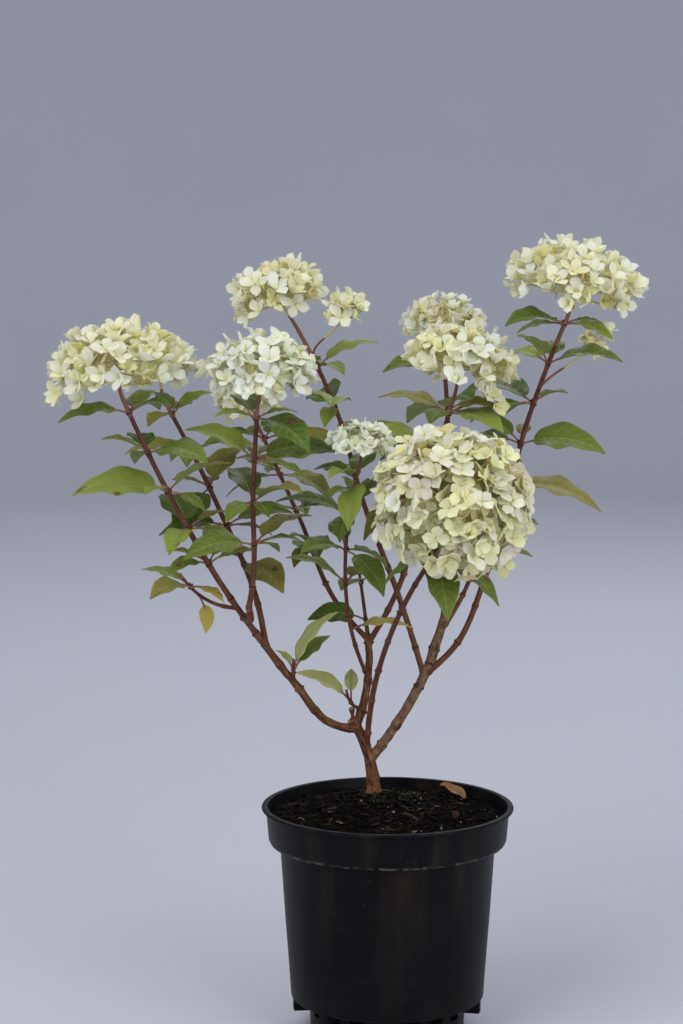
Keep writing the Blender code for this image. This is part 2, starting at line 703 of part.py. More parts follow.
def make_soil(plant):
    """The soil: it fills the pot to below the lip, and rises to a level seat at the trunk."""
    inside = WALL + GAP
    collar = COLLAR_FOOT_RADIUS - inside
    profile = [
        (0, SOIL_SEAT),
        (SEAT_RADIUS, SOIL_SEAT),
        *SOIL_RINGS,
        (collar, SOIL_EDGE),
        (collar, COLLAR_FOOT + 3 * WALL + GAP),
        (collar - WALL, COLLAR_FOOT + WALL + GAP),
        (BODY_TOP_RADIUS - inside, COLLAR_FOOT + GAP),
        (BODY_FOOT_RADIUS - inside, BODY_FOOT + inside),
        (FOOT_RADIUS - GAP, BODY_FOOT + inside),
        (FOOT_RADIUS - inside, inside),
        (0, inside),
    ]
    soil = turned("soil", profile, plant)
    draw = random.Random("soil")
    for vertex in soil.data.vertices:
        x, y, z = vertex.co
        radius = math.hypot(x, y)
        if z < SOIL_EDGE - GAP:
            continue
        lean = 1 - min(1, radius / collar)
        vertex.co.x += TRUNK_FOOT[0] * lean
        vertex.co.y += TRUNK_FOOT[1] * lean
        if radius > SEAT_RADIUS + GAP:
            vertex.co.z += draw.uniform(-SOIL_BUMP, SOIL_BUMP)
    return soil


def make_limb(name, plant):
    """A limb's bare wood, cut clear of its parent and of the limbs that fork beside it."""
    wood = bare_wood(name, plant)
    if not LIMBS[name].parent:
        cut_level(wood, SOIL_SEAT + GAP)
    beside = fork_neighbours(name)
    if beside:
        wood = boolean(wood, [bare_wood(other, plant, GAP) for other in beside], "DIFFERENCE")
    return wood


def bare_wood(name, group, grow=0.0):
    """A limb's bare wood as a tube. Grown by the clearance, it is a cutter for its neighbours."""
    limb = LIMBS[name]
    points, radii = stretch(name, 0 if limb.parent else -TRUNK_SPARE, limb.bare)
    return tube(name, points, radii, BOUGH_SIDES if limb in BOUGHS else CANE_SIDES, group, grow)


def cut_level(obj, height):
    """Cuts a solid off level, and closes the cut."""
    bm = bmesh.new()
    bm.from_mesh(obj.data)
    cut = bmesh.ops.bisect_plane(
        bm, geom=bm.verts[:] + bm.edges[:] + bm.faces[:], plane_co=(0, 0, height),
        plane_no=(0, 0, 1), clear_inner=True,
    )
    bmesh.ops.holes_fill(bm, edges=[e for e in cut["geom_cut"] if isinstance(e, bmesh.types.BMEdge)])
    bmesh.ops.recalc_face_normals(bm, faces=bm.faces)
    bm.to_mesh(obj.data)
    bm.free()


def fork_neighbours(name):
    """The limbs made before this one that it could touch at its foot."""
    limb = LIMBS[name]
    foot = limb_point(name, 0)
    found = [limb.parent] if limb.parent else []
    for other in LIMBS.values():
        if other.name == name:
            break
        if other.parent == limb.parent and limb.parent and other.bare > 0:
            if np.linalg.norm(limb_point(other.name, 0) - foot) < FORK_REACH:
                found.append(other.name)
    return found


def make_leaf(leaf, group):
    """A leaf's solid: sections from the petiole to the tip, each a flat diamond."""
    bm = bmesh.new()
    rings = []
    stalk = [(0, STALK_HALF, 0, STALK_HALF), (PETIOLE, STALK_HALF, 0, STALK_HALF)]
    for way, half, fold, deep in stalk + [
        (PETIOLE + share * leaf.length, leaf.half_width(share), LEAF_FOLD, LEAF_THICKNESS / 2)
        for share in SECTIONS
    ]:
        point, side, top = leaf.midrib(way)
        edge = side * half * math.cos(math.radians(fold))
        lift = top * half * math.sin(math.radians(fold))
        thick = top * deep
        ring = (point - edge + lift, point + thick, point + edge + lift, point - thick)
        rings.append([bm.verts.new(spot) for spot in ring])
    for low, high in zip(rings, rings[1:]):
        for i in range(4):
            j = (i + 1) % 4
            bm.faces.new((low[i], low[j], high[j], high[i]))
    tip = bm.verts.new(leaf.midrib(leaf.reach)[0])
    for i in range(4):
        bm.faces.new((rings[-1][i], rings[-1][(i + 1) % 4], tip))
    bm.faces.new(reversed(rings[0]))
    bmesh.ops.triangulate(bm, faces=bm.faces)
    bmesh.ops.recalc_face_normals(bm, faces=bm.faces)
    return mesh_object("leaf", bm, group)


def make_shoot(name, leaves, plant):
    """A leafy shoot: the upper part of its cane, with its leaves fused on."""
    points, radii = stretch(name, leafy_start(name), 1.0)
    title = name.removesuffix("_cane") + "_leaves"
    shoot = tube(title, points, radii, CANE_SIDES, plant)
    if leaves:
        shoot = boolean(shoot, [make_leaf(leaf, plant) for leaf in leaves], "UNION")
    if LIMBS[name].bare == 0.0:
        beside = [bare_wood(other, plant, GAP) for other in fork_neighbours(name)]
        shoot = boolean(shoot, beside, "DIFFERENCE")
    return shoot


def floret_places(head):
    """Where the florets sit on a dome, with the way each one faces and its radius."""
    turn, half = head_frame(head)
    radius = FLORET_LEAST + FLORET_GROWTH * half[0]
    even = (half.prod()) ** (1 / 3)
    area = 4 * math.pi * even**2 * (1 - HEAD_LOWEST) / 2
    count = max(FEWEST_FLORETS, round(area / (FLORET_SPACING * radius) ** 2))
    places = []
    for i in range(count):
        up = 1 - (1 - HEAD_LOWEST) * (i + 0.5) / count
        ring = math.sqrt(1 - up**2)
        ball = np.array([ring * math.cos(i * GOLDEN_TURN), ring * math.sin(i * GOLDEN_TURN), up])
        facing = turn @ unit(ball / half)
        places.append((np.array(head.centre) + turn @ (ball * half), facing, radius))
    return places


def make_floret(place, facing, radius, spin, group):
    """A floret of four broad sepals, cupped, on a three-sided stalk sunk in the head's core."""
    turn = basis(facing)
    bm = bmesh.new()

    def spot(reach, angle, depth):
        local = np.array([reach * math.cos(angle + spin), reach * math.sin(angle + spin), -depth])
        return bm.verts.new(place + turn @ local)

    eye = spot(0, 0, FLORET_CUP)
    rim = [
        spot(radius * (FLORET_NOTCH if i % 2 else 1), i * math.pi / 4, FLORET_CUP / 2 * (i % 2))
        for i in range(8)
    ]
    neck = [spot(FLORET_STALK, (i + 0.5) * math.pi * 2 / 3, NECK_DEPTH) for i in range(3)]
    root = [spot(FLORET_STALK, (i + 0.5) * math.pi * 2 / 3, FLORET_DEPTH) for i in range(3)]
    for i in range(8):
        j = (i + 1) % 8
        bm.faces.new((eye, rim[i], rim[j]))
        bm.faces.new((rim[j], rim[i], neck[i * 3 // 8]))
    for i in range(3):
        j, corner = (i + 1) % 3, -(-(i + 1) * 8 // 3) % 8
        bm.faces.new((neck[i], neck[j], rim[corner]))
        bm.faces.new((neck[j], neck[i], root[i], root[j]))
    bm.faces.new(root)
    bmesh.ops.triangulate(bm, faces=bm.faces)
    bmesh.ops.recalc_face_normals(bm, faces=bm.faces)
    return mesh_object("floret", bm, group)


def make_head(head, plant):
    """A flower head: a stalk into a smaller core, with florets that stand out of it all round."""
    turn, half = head_frame(head)
    draw = random.Random(head.name)
    centre = np.array(head.centre)
    foot, way = limb_point(head.parent, head.along), limb_way(head.parent, head.along)
    if head.along == 1.0:
        foot = foot + way * GAP
    radius = limb_radius(head.parent, head.along)
    route = [foot, foot + way * STALK_STRAIGHT, (foot + centre) / 2, centre]
    if head.along < 1.0:
        route.pop(1)
        radius *= SIDE_STALK
    stalk = tube(head.name, route, [radius] * len(route), CANE_SIDES, plant)
    bm = bmesh.new()
    bmesh.ops.create_icosphere(bm, subdivisions=2, radius=1)
    for vertex in bm.verts:
        ball = np.array(vertex.co)
        ball[2] = max(ball[2], CORE_LOWEST)
        vertex.co = Vector(centre + turn @ (ball * (half - CORE_INSET)))
    bmesh.ops.recalc_face_normals(bm, faces=bm.faces)
    pieces = [mesh_object("core", bm, plant)]
    for place, facing, reach in floret_places(head):
        place = place - facing * draw.uniform(0, FLORET_INSET)
        pieces.append(make_floret(place, facing, reach, draw.uniform(0, math.pi), plant))
    whole = boolean(stalk, pieces, "UNION")
    if head.along < 1.0:
        points, radii = stretch(head.parent, leafy_start(head.parent), 1.0)
        whole = boolean(whole, [tube("shoot", points, radii, CANE_SIDES, plant, GAP)], "DIFFERENCE")
    return whole


def smooth(obj, degrees=40):
    """Shades a rounded piece smooth, apart from its sharp edges."""
    obj.data.shade_smooth()
    obj.data.set_sharp_from_angle(angle=math.radians(degrees))


def main():
    """Builds the plant and dresses each solid."""
    clear_scene()
    plant = new_collection("potted_hydrangea")
    cutters = new_collection("cutters")
    cutters.hide_render = True
    plastic = material("pot_plastic", (0.012, 0.012, 0.013), 0.5)
    compost = material("compost", (0.035, 0.022, 0.015), 0.95)
    bark = material("bark", (0.24, 0.13, 0.08), 0.8)
    cane_bark = material("cane_bark", (0.17, 0.05, 0.04), 0.6)
    leaf_green = material("leaf_green", (0.10, 0.19, 0.05), 0.5)
    petals = material("petals", (0.78, 0.77, 0.55), 0.6)

    pot, soil = make_pot(plant, cutters), make_soil(plant)
    dressed = [(pot, plastic), (soil, compost)]
    dressed += [(make_limb(limb.name, plant), bark) for limb in BOUGHS]
    dressed += [(make_limb(limb.name, plant), cane_bark) for limb in CANES if limb.bare > 0]
    for name, leaves in grow_leaves().items():
        if LIMBS[name].bare < 1.0:
            dressed.append((make_shoot(name, leaves, plant), leaf_green))
    dressed += [(make_head(head, plant), petals) for head in HEADS]
    for obj, finish in dressed:
        obj.data.materials.clear()
        obj.data.materials.append(finish)
        smooth(obj)


main()
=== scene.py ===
"""The looks of a panicle hydrangea in its nursery pot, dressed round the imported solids.

Metres, +Z up, in the solids' own frame. The wood, the leaves and the flower heads grow by the same
rule as the solids, and are carried on to bark, veins, teeth, sepals and flower stalks.
"""

import json
import logging
import random
from dataclasses import dataclass
from enum import Enum
from math import asin, atan2, comb, cos, degrees, exp, hypot, pi, radians, sin, sqrt, tan
from typing import Callable, Iterator, Sequence

import bmesh
import bpy
import numpy as np
from mathutils import Matrix, Vector, noise

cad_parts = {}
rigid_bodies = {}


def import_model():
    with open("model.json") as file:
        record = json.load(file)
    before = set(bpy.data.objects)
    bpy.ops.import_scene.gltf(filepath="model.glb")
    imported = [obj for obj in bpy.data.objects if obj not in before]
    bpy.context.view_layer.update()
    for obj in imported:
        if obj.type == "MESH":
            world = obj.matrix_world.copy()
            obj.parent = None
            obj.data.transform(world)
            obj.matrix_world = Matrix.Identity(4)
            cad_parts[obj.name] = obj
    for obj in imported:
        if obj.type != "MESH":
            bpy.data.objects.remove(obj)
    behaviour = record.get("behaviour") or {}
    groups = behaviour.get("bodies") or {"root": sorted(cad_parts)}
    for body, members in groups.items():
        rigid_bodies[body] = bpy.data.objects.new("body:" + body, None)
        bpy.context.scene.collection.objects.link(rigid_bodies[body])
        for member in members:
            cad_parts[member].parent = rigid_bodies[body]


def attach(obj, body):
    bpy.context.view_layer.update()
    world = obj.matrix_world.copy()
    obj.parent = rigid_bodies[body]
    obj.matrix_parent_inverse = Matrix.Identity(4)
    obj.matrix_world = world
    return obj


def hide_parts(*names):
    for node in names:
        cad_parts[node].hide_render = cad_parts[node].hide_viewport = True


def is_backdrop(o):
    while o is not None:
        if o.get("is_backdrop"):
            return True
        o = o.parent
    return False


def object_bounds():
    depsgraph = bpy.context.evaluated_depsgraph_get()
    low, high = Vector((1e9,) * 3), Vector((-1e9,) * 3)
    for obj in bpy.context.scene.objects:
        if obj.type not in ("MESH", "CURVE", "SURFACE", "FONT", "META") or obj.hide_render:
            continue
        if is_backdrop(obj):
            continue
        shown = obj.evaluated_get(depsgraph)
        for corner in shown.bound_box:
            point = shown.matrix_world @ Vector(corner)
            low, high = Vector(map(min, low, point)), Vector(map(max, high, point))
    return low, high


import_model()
CAD_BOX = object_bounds()

log = logging.getLogger("potted_hydrangea")

Array = np.ndarray
Colour = tuple[float, float, float]
Place = tuple[float, float, float]
Object = bpy.types.Object
Material = bpy.types.Material
Socket = bpy.types.NodeSocket
Finishes = dict[str, Material]
Layers = Iterator[tuple[Colour, Socket]]
Steps = tuple[tuple[float, float], ...]
# The faces of a patch as their corners' numbers, and the corners' places on the pattern map.
Patch = tuple[Array, Array]
Shape = tuple[Array, Sequence[Patch]]

# The solids' own sizes, in metres and degrees.
GAP = 0.0003
POT_HEIGHT = 0.2
COLLAR_TOP_RADIUS = 0.1062
COLLAR_FOOT_RADIUS = 0.104
COLLAR_FOOT = 0.168
BODY_TOP_RADIUS = 0.094
BODY_FOOT_RADIUS = 0.0848
BODY_FOOT = 0.03
FOOT_RADIUS = 0.0675
WALL = 0.0016
SOIL_EDGE = 0.1905
SOIL_SEAT = 0.2
SEAT_RADIUS = 0.014
SOIL_RINGS = ((0.03, 0.1972), (0.055, 0.194), (0.08, 0.1917))
TRUNK_FOOT = (-0.012, 0.045)
FLARE_RADIUS = 0.0072
FLARE_HEIGHT = 0.0075
BEAD_SPACING = 0.004
PAIR_SPACING = 0.038
TOP_PAIR_DROP = 0.014
PETIOLE = 0.012
LEAF_LENGTH = 0.074
LEAF_WIDTH = 0.041
LEAF_FOLD = 18
LEAF_RISE = 32
LEAF_DROOP = 5
LEAF_BEND = 56
LEAF_SIZES = (0.82, 1.08)
PAIR_LOSS = 0.12
FULL_PAIR = 1.5
TURN_VARIES = 14
RISE_VARIES = 9
ROLL_VARIES = 30
LIGHT_LEAN = 22
SLOPE_SHARE = 0.35
SWELL = 0.55
DRAW_OUT = 0.9
FULL_AT = SWELL / (SWELL + DRAW_OUT)
FULL_SCALE = 1 / (FULL_AT**SWELL * (1 - FULL_AT) ** DRAW_OUT)
LEAF_CLEAR = 0.0065
SAME_SHOOT_CLEAR = 0.0039
LIMB_CLEAR = 0.004
HEAD_CLEAR = 0.004
ROOT_FREE = 0.016
LEAF_TRIES = (
    (0, 0, 1.0), (-20, 12, 1.0), (16, -14, 0.95), (-38, -10, 0.9), (8, 26, 0.9),
    (-12, -30, 0.85), (0, 0, 0.74), (-30, 20, 0.7), (24, -20, 0.62),
)
HEAD_LOWEST = -0.42
GOLDEN_TURN = pi * (3 - sqrt(5))

# The veins, which are modelled and painted, and the light that sinks into leaves and sepals.
VEIN_PAIRS = 8.0
VEIN_SWEEP = 1.35
GLOW_TINT = (1.0, 0.9, 0.5)
GLOW_DEPTH = 0.0024


class Spray(Enum):
    """The part of the plant that a limb belongs to, by the bough that bears it."""

    LEFT = "left"
    MIDDLE = "middle"
    RIGHT = "right"


class Bloom(Enum):
    """How far a flower head has turned, from green bud to faded."""

    CREAM = "cream"
    WHITE = "white"
    GREEN = "green"
    BLUSH = "blush"
    FADED = "faded"
    OPEN = "open"


@dataclass(frozen=True)
class Limb:
    """A tapering limb, from its parent through a few points to its tip, bare below and leafy above."""

    name: str
    parent: str
    along: float
    through: tuple[Place, ...]
    tip: Place
    foot_radius: float
    tip_radius: float
    bare: float = 1.0
    pairs: int = 0
    turn: float = 0.0
    leaf_scale: float = 1.0
    drop: float = TOP_PAIR_DROP


@dataclass(frozen=True)
class Head:
    """A flower head, on a stalk from its shoot's tip or from its side."""

    name: str
    parent: str
    along: float
    centre: Place
    width: float
    height: float
    bloom: Bloom = Bloom.CREAM


BOUGHS = (
    Limb("trunk", "", 0, ((-0.016, 0.045, 0.234),), (-0.031, 0.039, 0.268), 0.0052, 0.0044),
    Limb("right_bough", "trunk", 0.42, ((0.014, 0.049, 0.27),), (0.038, 0.05, 0.316),
         0.0043, 0.004),
    Limb("left_bough", "trunk", 0.86, ((-0.05, 0.029, 0.267), (-0.081, 0.01, 0.306)),
         (-0.11, 0.0, 0.346), 0.0036, 0.0031),
    Limb("centre_bough", "trunk", 0.9, ((-0.019, 0.041, 0.29),), (-0.017, 0.05, 0.342),
         0.0037, 0.0031),
    Limb("right_stub", "right_bough", 1.0, ((0.046, 0.06, 0.338),), (0.054, 0.07, 0.36),
         0.0041, 0.004),
)

CANES = (
    Limb("front_cane", "trunk", 0.56, ((-0.014, 0.02, 0.287), (-0.003, -0.018, 0.34)),
         (0.041, -0.104, 0.441), 0.0027, 0.002, 0.74, 1, 60),
    Limb("left_outer_cane", "left_bough", 1.0, ((-0.137, -0.002, 0.384), (-0.17, -0.024, 0.444)),
         (-0.224, -0.048, 0.56), 0.0028, 0.0019, 0.26, 5, 4),
    Limb("left_inner_cane", "left_bough", 0.95, ((-0.112, 0.014, 0.37), (-0.148, 0.05, 0.454)),
         (-0.198, 0.088, 0.546), 0.0027, 0.0018, 0.26, 5, 60),
    Limb("left_spur", "left_outer_cane", 0.1, ((-0.1195, -0.01, 0.366),),
         (-0.12, -0.018, 0.377), 0.0032, 0.0029),
    Limb("left_front_cane", "left_spur", 1.0, ((-0.116, -0.026, 0.402), (-0.115, -0.042, 0.474)),
         (-0.11, -0.066, 0.557), 0.0024, 0.0018, 0.2, 4, 86),
    Limb("left_twig", "left_outer_cane", 0.14, ((-0.148, -0.004, 0.378),), (-0.18, -0.004, 0.405),
         0.0017, 0.0013, 0.4, 2, 70, 0.84),
    Limb("inner_cane", "right_bough", 0.88,
         ((0.012, 0.053, 0.372), (-0.021, 0.056, 0.46), (-0.044, 0.046, 0.54)),
         (-0.078, 0.036, 0.613), 0.0027, 0.0018, 0.44, 4, 4, 1.0, 0.037),
    Limb("back_cane", "right_stub", 1.0, ((0.058, 0.108, 0.443),), (0.053, 0.148, 0.585),
         0.0028, 0.0019, 0.26, 4, 20),
    Limb("right_cane", "right_bough", 0.9,
         ((0.058, 0.045, 0.33), (0.087, 0.03, 0.4), (0.121, 0.004, 0.54)),
         (0.15, -0.02, 0.624), 0.0028, 0.0019, 0.42, 5, 35, 1.0, 0.004),
    Limb("thin_cane", "centre_bough", 0.55, ((-0.033, 0.002, 0.36), (-0.036, -0.04, 0.44)),
         (-0.025, -0.068, 0.506), 0.0019, 0.0014, 0.2, 4, 80, 0.85),
    Limb("rear_left_cane", "centre_bough", 0.95, ((-0.043, 0.066, 0.366), (-0.078, 0.098, 0.44)),
         (-0.116, 0.124, 0.522), 0.0024, 0.0016, 0.26, 4, 20, 0.9),
    Limb("middle_cane", "centre_bough", 0.92, ((0.01, 0.03, 0.388), (0.03, 0.012, 0.466)),
         (0.055, -0.014, 0.556), 0.0026, 0.0018, 0.32, 4, 10),
    Limb("rear_right_cane", "right_stub", 0.6, ((0.078, 0.108, 0.388),), (0.092, 0.146, 0.434),
         0.0023, 0.0016, 0.34, 3, 50, 0.9),
    Limb("centre_twig", "centre_bough", 1.0, ((-0.021, 0.056, 0.372),), (-0.025, 0.064, 0.4),
         0.0018, 0.0013, 0.0, 2, 75, 0.75),
    Limb("low_twig", "centre_bough", 0.2, ((-0.029, 0.034, 0.281),), (-0.036, 0.026, 0.297),
         0.0016, 0.0012, 0.0, 1, 10, 0.66),
    Limb("left_low_twig", "left_bough", 0.62, ((-0.082, 0.003, 0.314),), (-0.082, -0.004, 0.33),
         0.0016, 0.0012, 0.0, 1, 20, 0.75),
)

HEADS = (
    Head("left_outer_head", "left_outer_cane", 1.0, (-0.228, -0.055, 0.586), 0.124, 0.08),
    Head("left_inner_head", "left_inner_cane", 1.0, (-0.203, 0.094, 0.571), 0.084, 0.062),
    Head("left_front_head", "left_front_cane", 1.0, (-0.105, -0.075, 0.581), 0.1, 0.076,
         Bloom.WHITE),
    Head("inner_head", "inner_cane", 1.0, (-0.094, 0.04, 0.641), 0.096, 0.068),
    Head("inner_side_head", "inner_cane", 0.905, (-0.035, 0.0, 0.63), 0.044, 0.036),
    Head("thin_head", "thin_cane", 1.0, (-0.023, -0.075, 0.523), 0.06, 0.04, Bloom.GREEN),
    Head("rear_left_head", "rear_left_cane", 1.0, (-0.128, 0.132, 0.54), 0.066, 0.048),
    Head("middle_head", "middle_cane", 1.0, (0.061, -0.02, 0.588), 0.102, 0.07),
    Head("back_head", "back_cane", 1.0, (0.053, 0.152, 0.611), 0.08, 0.058, Bloom.FADED),
    Head("right_head", "right_cane", 1.0, (0.157, -0.02, 0.653), 0.124, 0.077),
    Head("right_side_head", "right_cane", 0.8, (0.179, 0.016, 0.604), 0.038, 0.038, Bloom.OPEN),
    Head("front_head", "front_cane", 1.0, (0.05, -0.13, 0.48), 0.142, 0.134, Bloom.BLUSH),
    Head("rear_right_head", "rear_right_cane", 1.0, (0.096, 0.155, 0.458), 0.08, 0.054),
)

# Runs of florets that hang out of a head: how many, and from where to where.
STRAYS = {
    "middle_head": ((5, (0.075, -0.036, 0.578), (0.093, -0.036, 0.556)),),
    "left_outer_head": ((2, (-0.272, -0.085, 0.566), (-0.255, -0.085, 0.562)),),
    "left_front_head": ((2, (-0.15, -0.06, 0.588), (-0.143, -0.06, 0.584)),),
    "front_head": ((3, (0.068, -0.125, 0.434), (0.08, -0.12, 0.428)),),
}

# Leaves that are set as seen, by shoot and pair, the top pair first: bearing, climb to the tip, size,
# how far the blade faces forward and its tint. A third leaf makes a whorl, and an empty pair is set
# by rule.
# The dark tint d is a darker copy of the green. On some leaves it is their own darker green, and on
# leaves that stood in shade it is painted shade.
LEAF_TINTS = {"f": "leaf_fresh", "g": "leaf_green", "d": "leaf_deep", "o": "leaf_olive",
              "p": "leaf_pale", "y": "leaf_yellow"}
SEEN_LEAVES = {
    "front_cane": (
        ((-76, -46, 0.75, 0, "g"), (160, -33, 0.6, 20, "g"), (-8, -36, 0.8, 20, "g")),
    ),
    "left_outer_cane": (
        ((200, -6, 0.72, 15, "g"), (60, 18, 0.8, 0, "d")),
        ((-42, -3, 0.85, 25, "g"), (109, 11, 0.6, 0, "d")),
        ((180, -2, 1.0, 30, "f"), (-15, 25, 0.72, -5, "o")),
        ((111, 18, 0.85, 0, "d"), (-105, -17, 0.6, 10, "f")),
        ((67, 20, 0.5, 0, "o"), (225, -5, 0.5, 20, "g")),
    ),
    "left_inner_cane": (
        ((73, 23, 0.7, 0, "d"), (-114, -8, 0.5, 0, "o")),
        ((165, 17, 0.7, 15, "o"), (-15, 5, 0.7, 15, "g")),
        ((63, 30, 0.75, 0, "o"), (231, -18, 0.85, 10, "d")),
        ((170, 12, 0.7, 20, "d"), (-10, 12, 0.7, 20, "g")),
        ((-57, -15, 0.8, 35, "o"), (120, 10, 0.5, 0, "g")),
    ),
    "left_front_cane": (
        ((-60, 0, 0.85, 30, "d"), (113, 14, 0.65, 0, "g")),
        ((185, 7, 0.8, 20, "f"), (5, 5, 0.85, 30, "d")),
        ((-47, 12, 0.75, 5, "o"), (110, 21, 0.75, 0, "d")),
        ((210, -7, 0.8, 30, "g"), (36, 19, 0.75, 0, "o")),
    ),
    "left_twig": (
        ((165, 17, 0.5, 10, "f"), (235, -4, 0.62, 30, "o"), (-30, 25, 0.45, 0, "y")),
        ((-65, -20, 0.4, 10, "y"), (100, 10, 0.4, 0, "g")),
    ),
    "inner_cane": (
        ((15, 21, 0.68, 10, "f"), (-60, -5, 0.5, 0, "g")),
    ),
    "right_cane": (
        ((215, 0, 0.75, 20, "d"), (40, 15, 0.35, 0, "g")),
        ((232, 29, 0.6, 15, "g"), (-27, 3, 0.8, 15, "g")),
        ((122, 27, 0.95, 10, "d"), (-50, 16, 0.45, 0, "d")),
        ((-17, -5, 0.9, 35, "g"), (165, 0, 0.6, 10, "g")),
        ((-7, -16, 1.0, 15, "o"), (175, 5, 0.7, 10, "g")),
    ),
    "thin_cane": (
        (),
        ((185, 48, 0.82, 10, "g"), (10, 40, 0.6, 10, "g")),
        ((225, 3, 0.6, 30, "g"), (-57, -18, 0.65, 25, "g")),
        ((190, 25, 0.65, 10, "f"), (60, 10, 0.5, 0, "o")),
    ),
    "rear_left_cane": (
        (),
        ((-40, -17, 0.75, 10, "o"), (140, 10, 0.7, 10, "g")),
        ((49, -6, 0.7, 10, "d"), (229, 0, 0.6, 10, "o")),
    ),
    "middle_cane": (
        ((165, 12, 0.75, 10, "o"), (-45, -11, 0.75, 20, "f")),
        ((208, 15, 0.85, 25, "f"), (29, 1, 0.9, 25, "d")),
    ),
    "low_twig": (
        ((180, 28, 0.65, 25, "p"), (-90, 60, 0.4, 0, "p")),
    ),
    "left_low_twig": (
        ((0, 54, 0.78, 20, "p"), (236, 42, 0.35, 0, "p"), (40, 34, 0.55, 10, "f")),
    ),
}

# Leaves in the looks alone. Loose ones: shoot, share along it, then as above. Side buds: how high the
# lowest is, at most how many there are at a joint, how many are tried, and their sizes.
LOOSE_LEAVES = (
    ("left_twig", 0.64, -20, -78, 0.34, 60, "y"), ("thin_cane", 0.27, 4, 0, 0.62, 6, "y"),
)
SIDE_LOWEST = 0.412
SIDE_LEAVES = 2
SIDE_TRIES = 26
SIDE_SIZES = (0.36, 0.66)


def unit(vector: Array) -> Array:
    """The vector at a length of 1."""
    vector = np.asarray(vector, float)
    return vector / np.linalg.norm(vector)


def basis(axis: Array) -> Array:
    """Two directions square to the axis, and the axis, as the columns of a turn."""
    axis = unit(axis)
    side = unit(np.array([1.0, 0, 0]) - axis[0] * axis)
    return np.column_stack([side, np.cross(axis, side), axis])


def bump(distance: Array, width: float) -> Array:
    """A smooth hump: 1 at no distance, and almost gone two widths away."""
    return np.exp(-((np.asarray(distance) / width) ** 2))


def rough(points: Array, scale: float, seed: float = 0.0) -> Array:
    """Smooth noise from -1 to 1 at each point.

    Args:
        points: Places, in metres.
        scale: How many of the noise's waves go in a metre.
        seed: A shift that gives another pattern.

    Returns:
        One value a point.
    """
    flat = points.reshape(-1, 3) * scale + seed
    return np.array([noise.noise(Vector(spot)) for spot in flat]).reshape(points.shape[:-1])


def ring_turns(sides: int) -> Array:
    """The bearings of a ring's points."""
    return np.arange(sides) * 2 * pi / sides


def golden_spot(i: int, count: int, lowest: float, shift: float = 0.0) -> Array:
    """One of many even places on a ball of radius 1.

    Args:
        i: The place's number, counted from the top.
        count: How many places there are.
        lowest: The height below which there are none, from -1 to 1.
        shift: How far it is turned from its even bearing, in radians.

    Returns:
        The place.
    """
    up = 1 - (1 - lowest) * (i + 0.5) / count
    ring, turn = sqrt(1 - up**2), i * GOLDEN_TURN + shift
    return np.array([ring * cos(turn), ring * sin(turn), up])


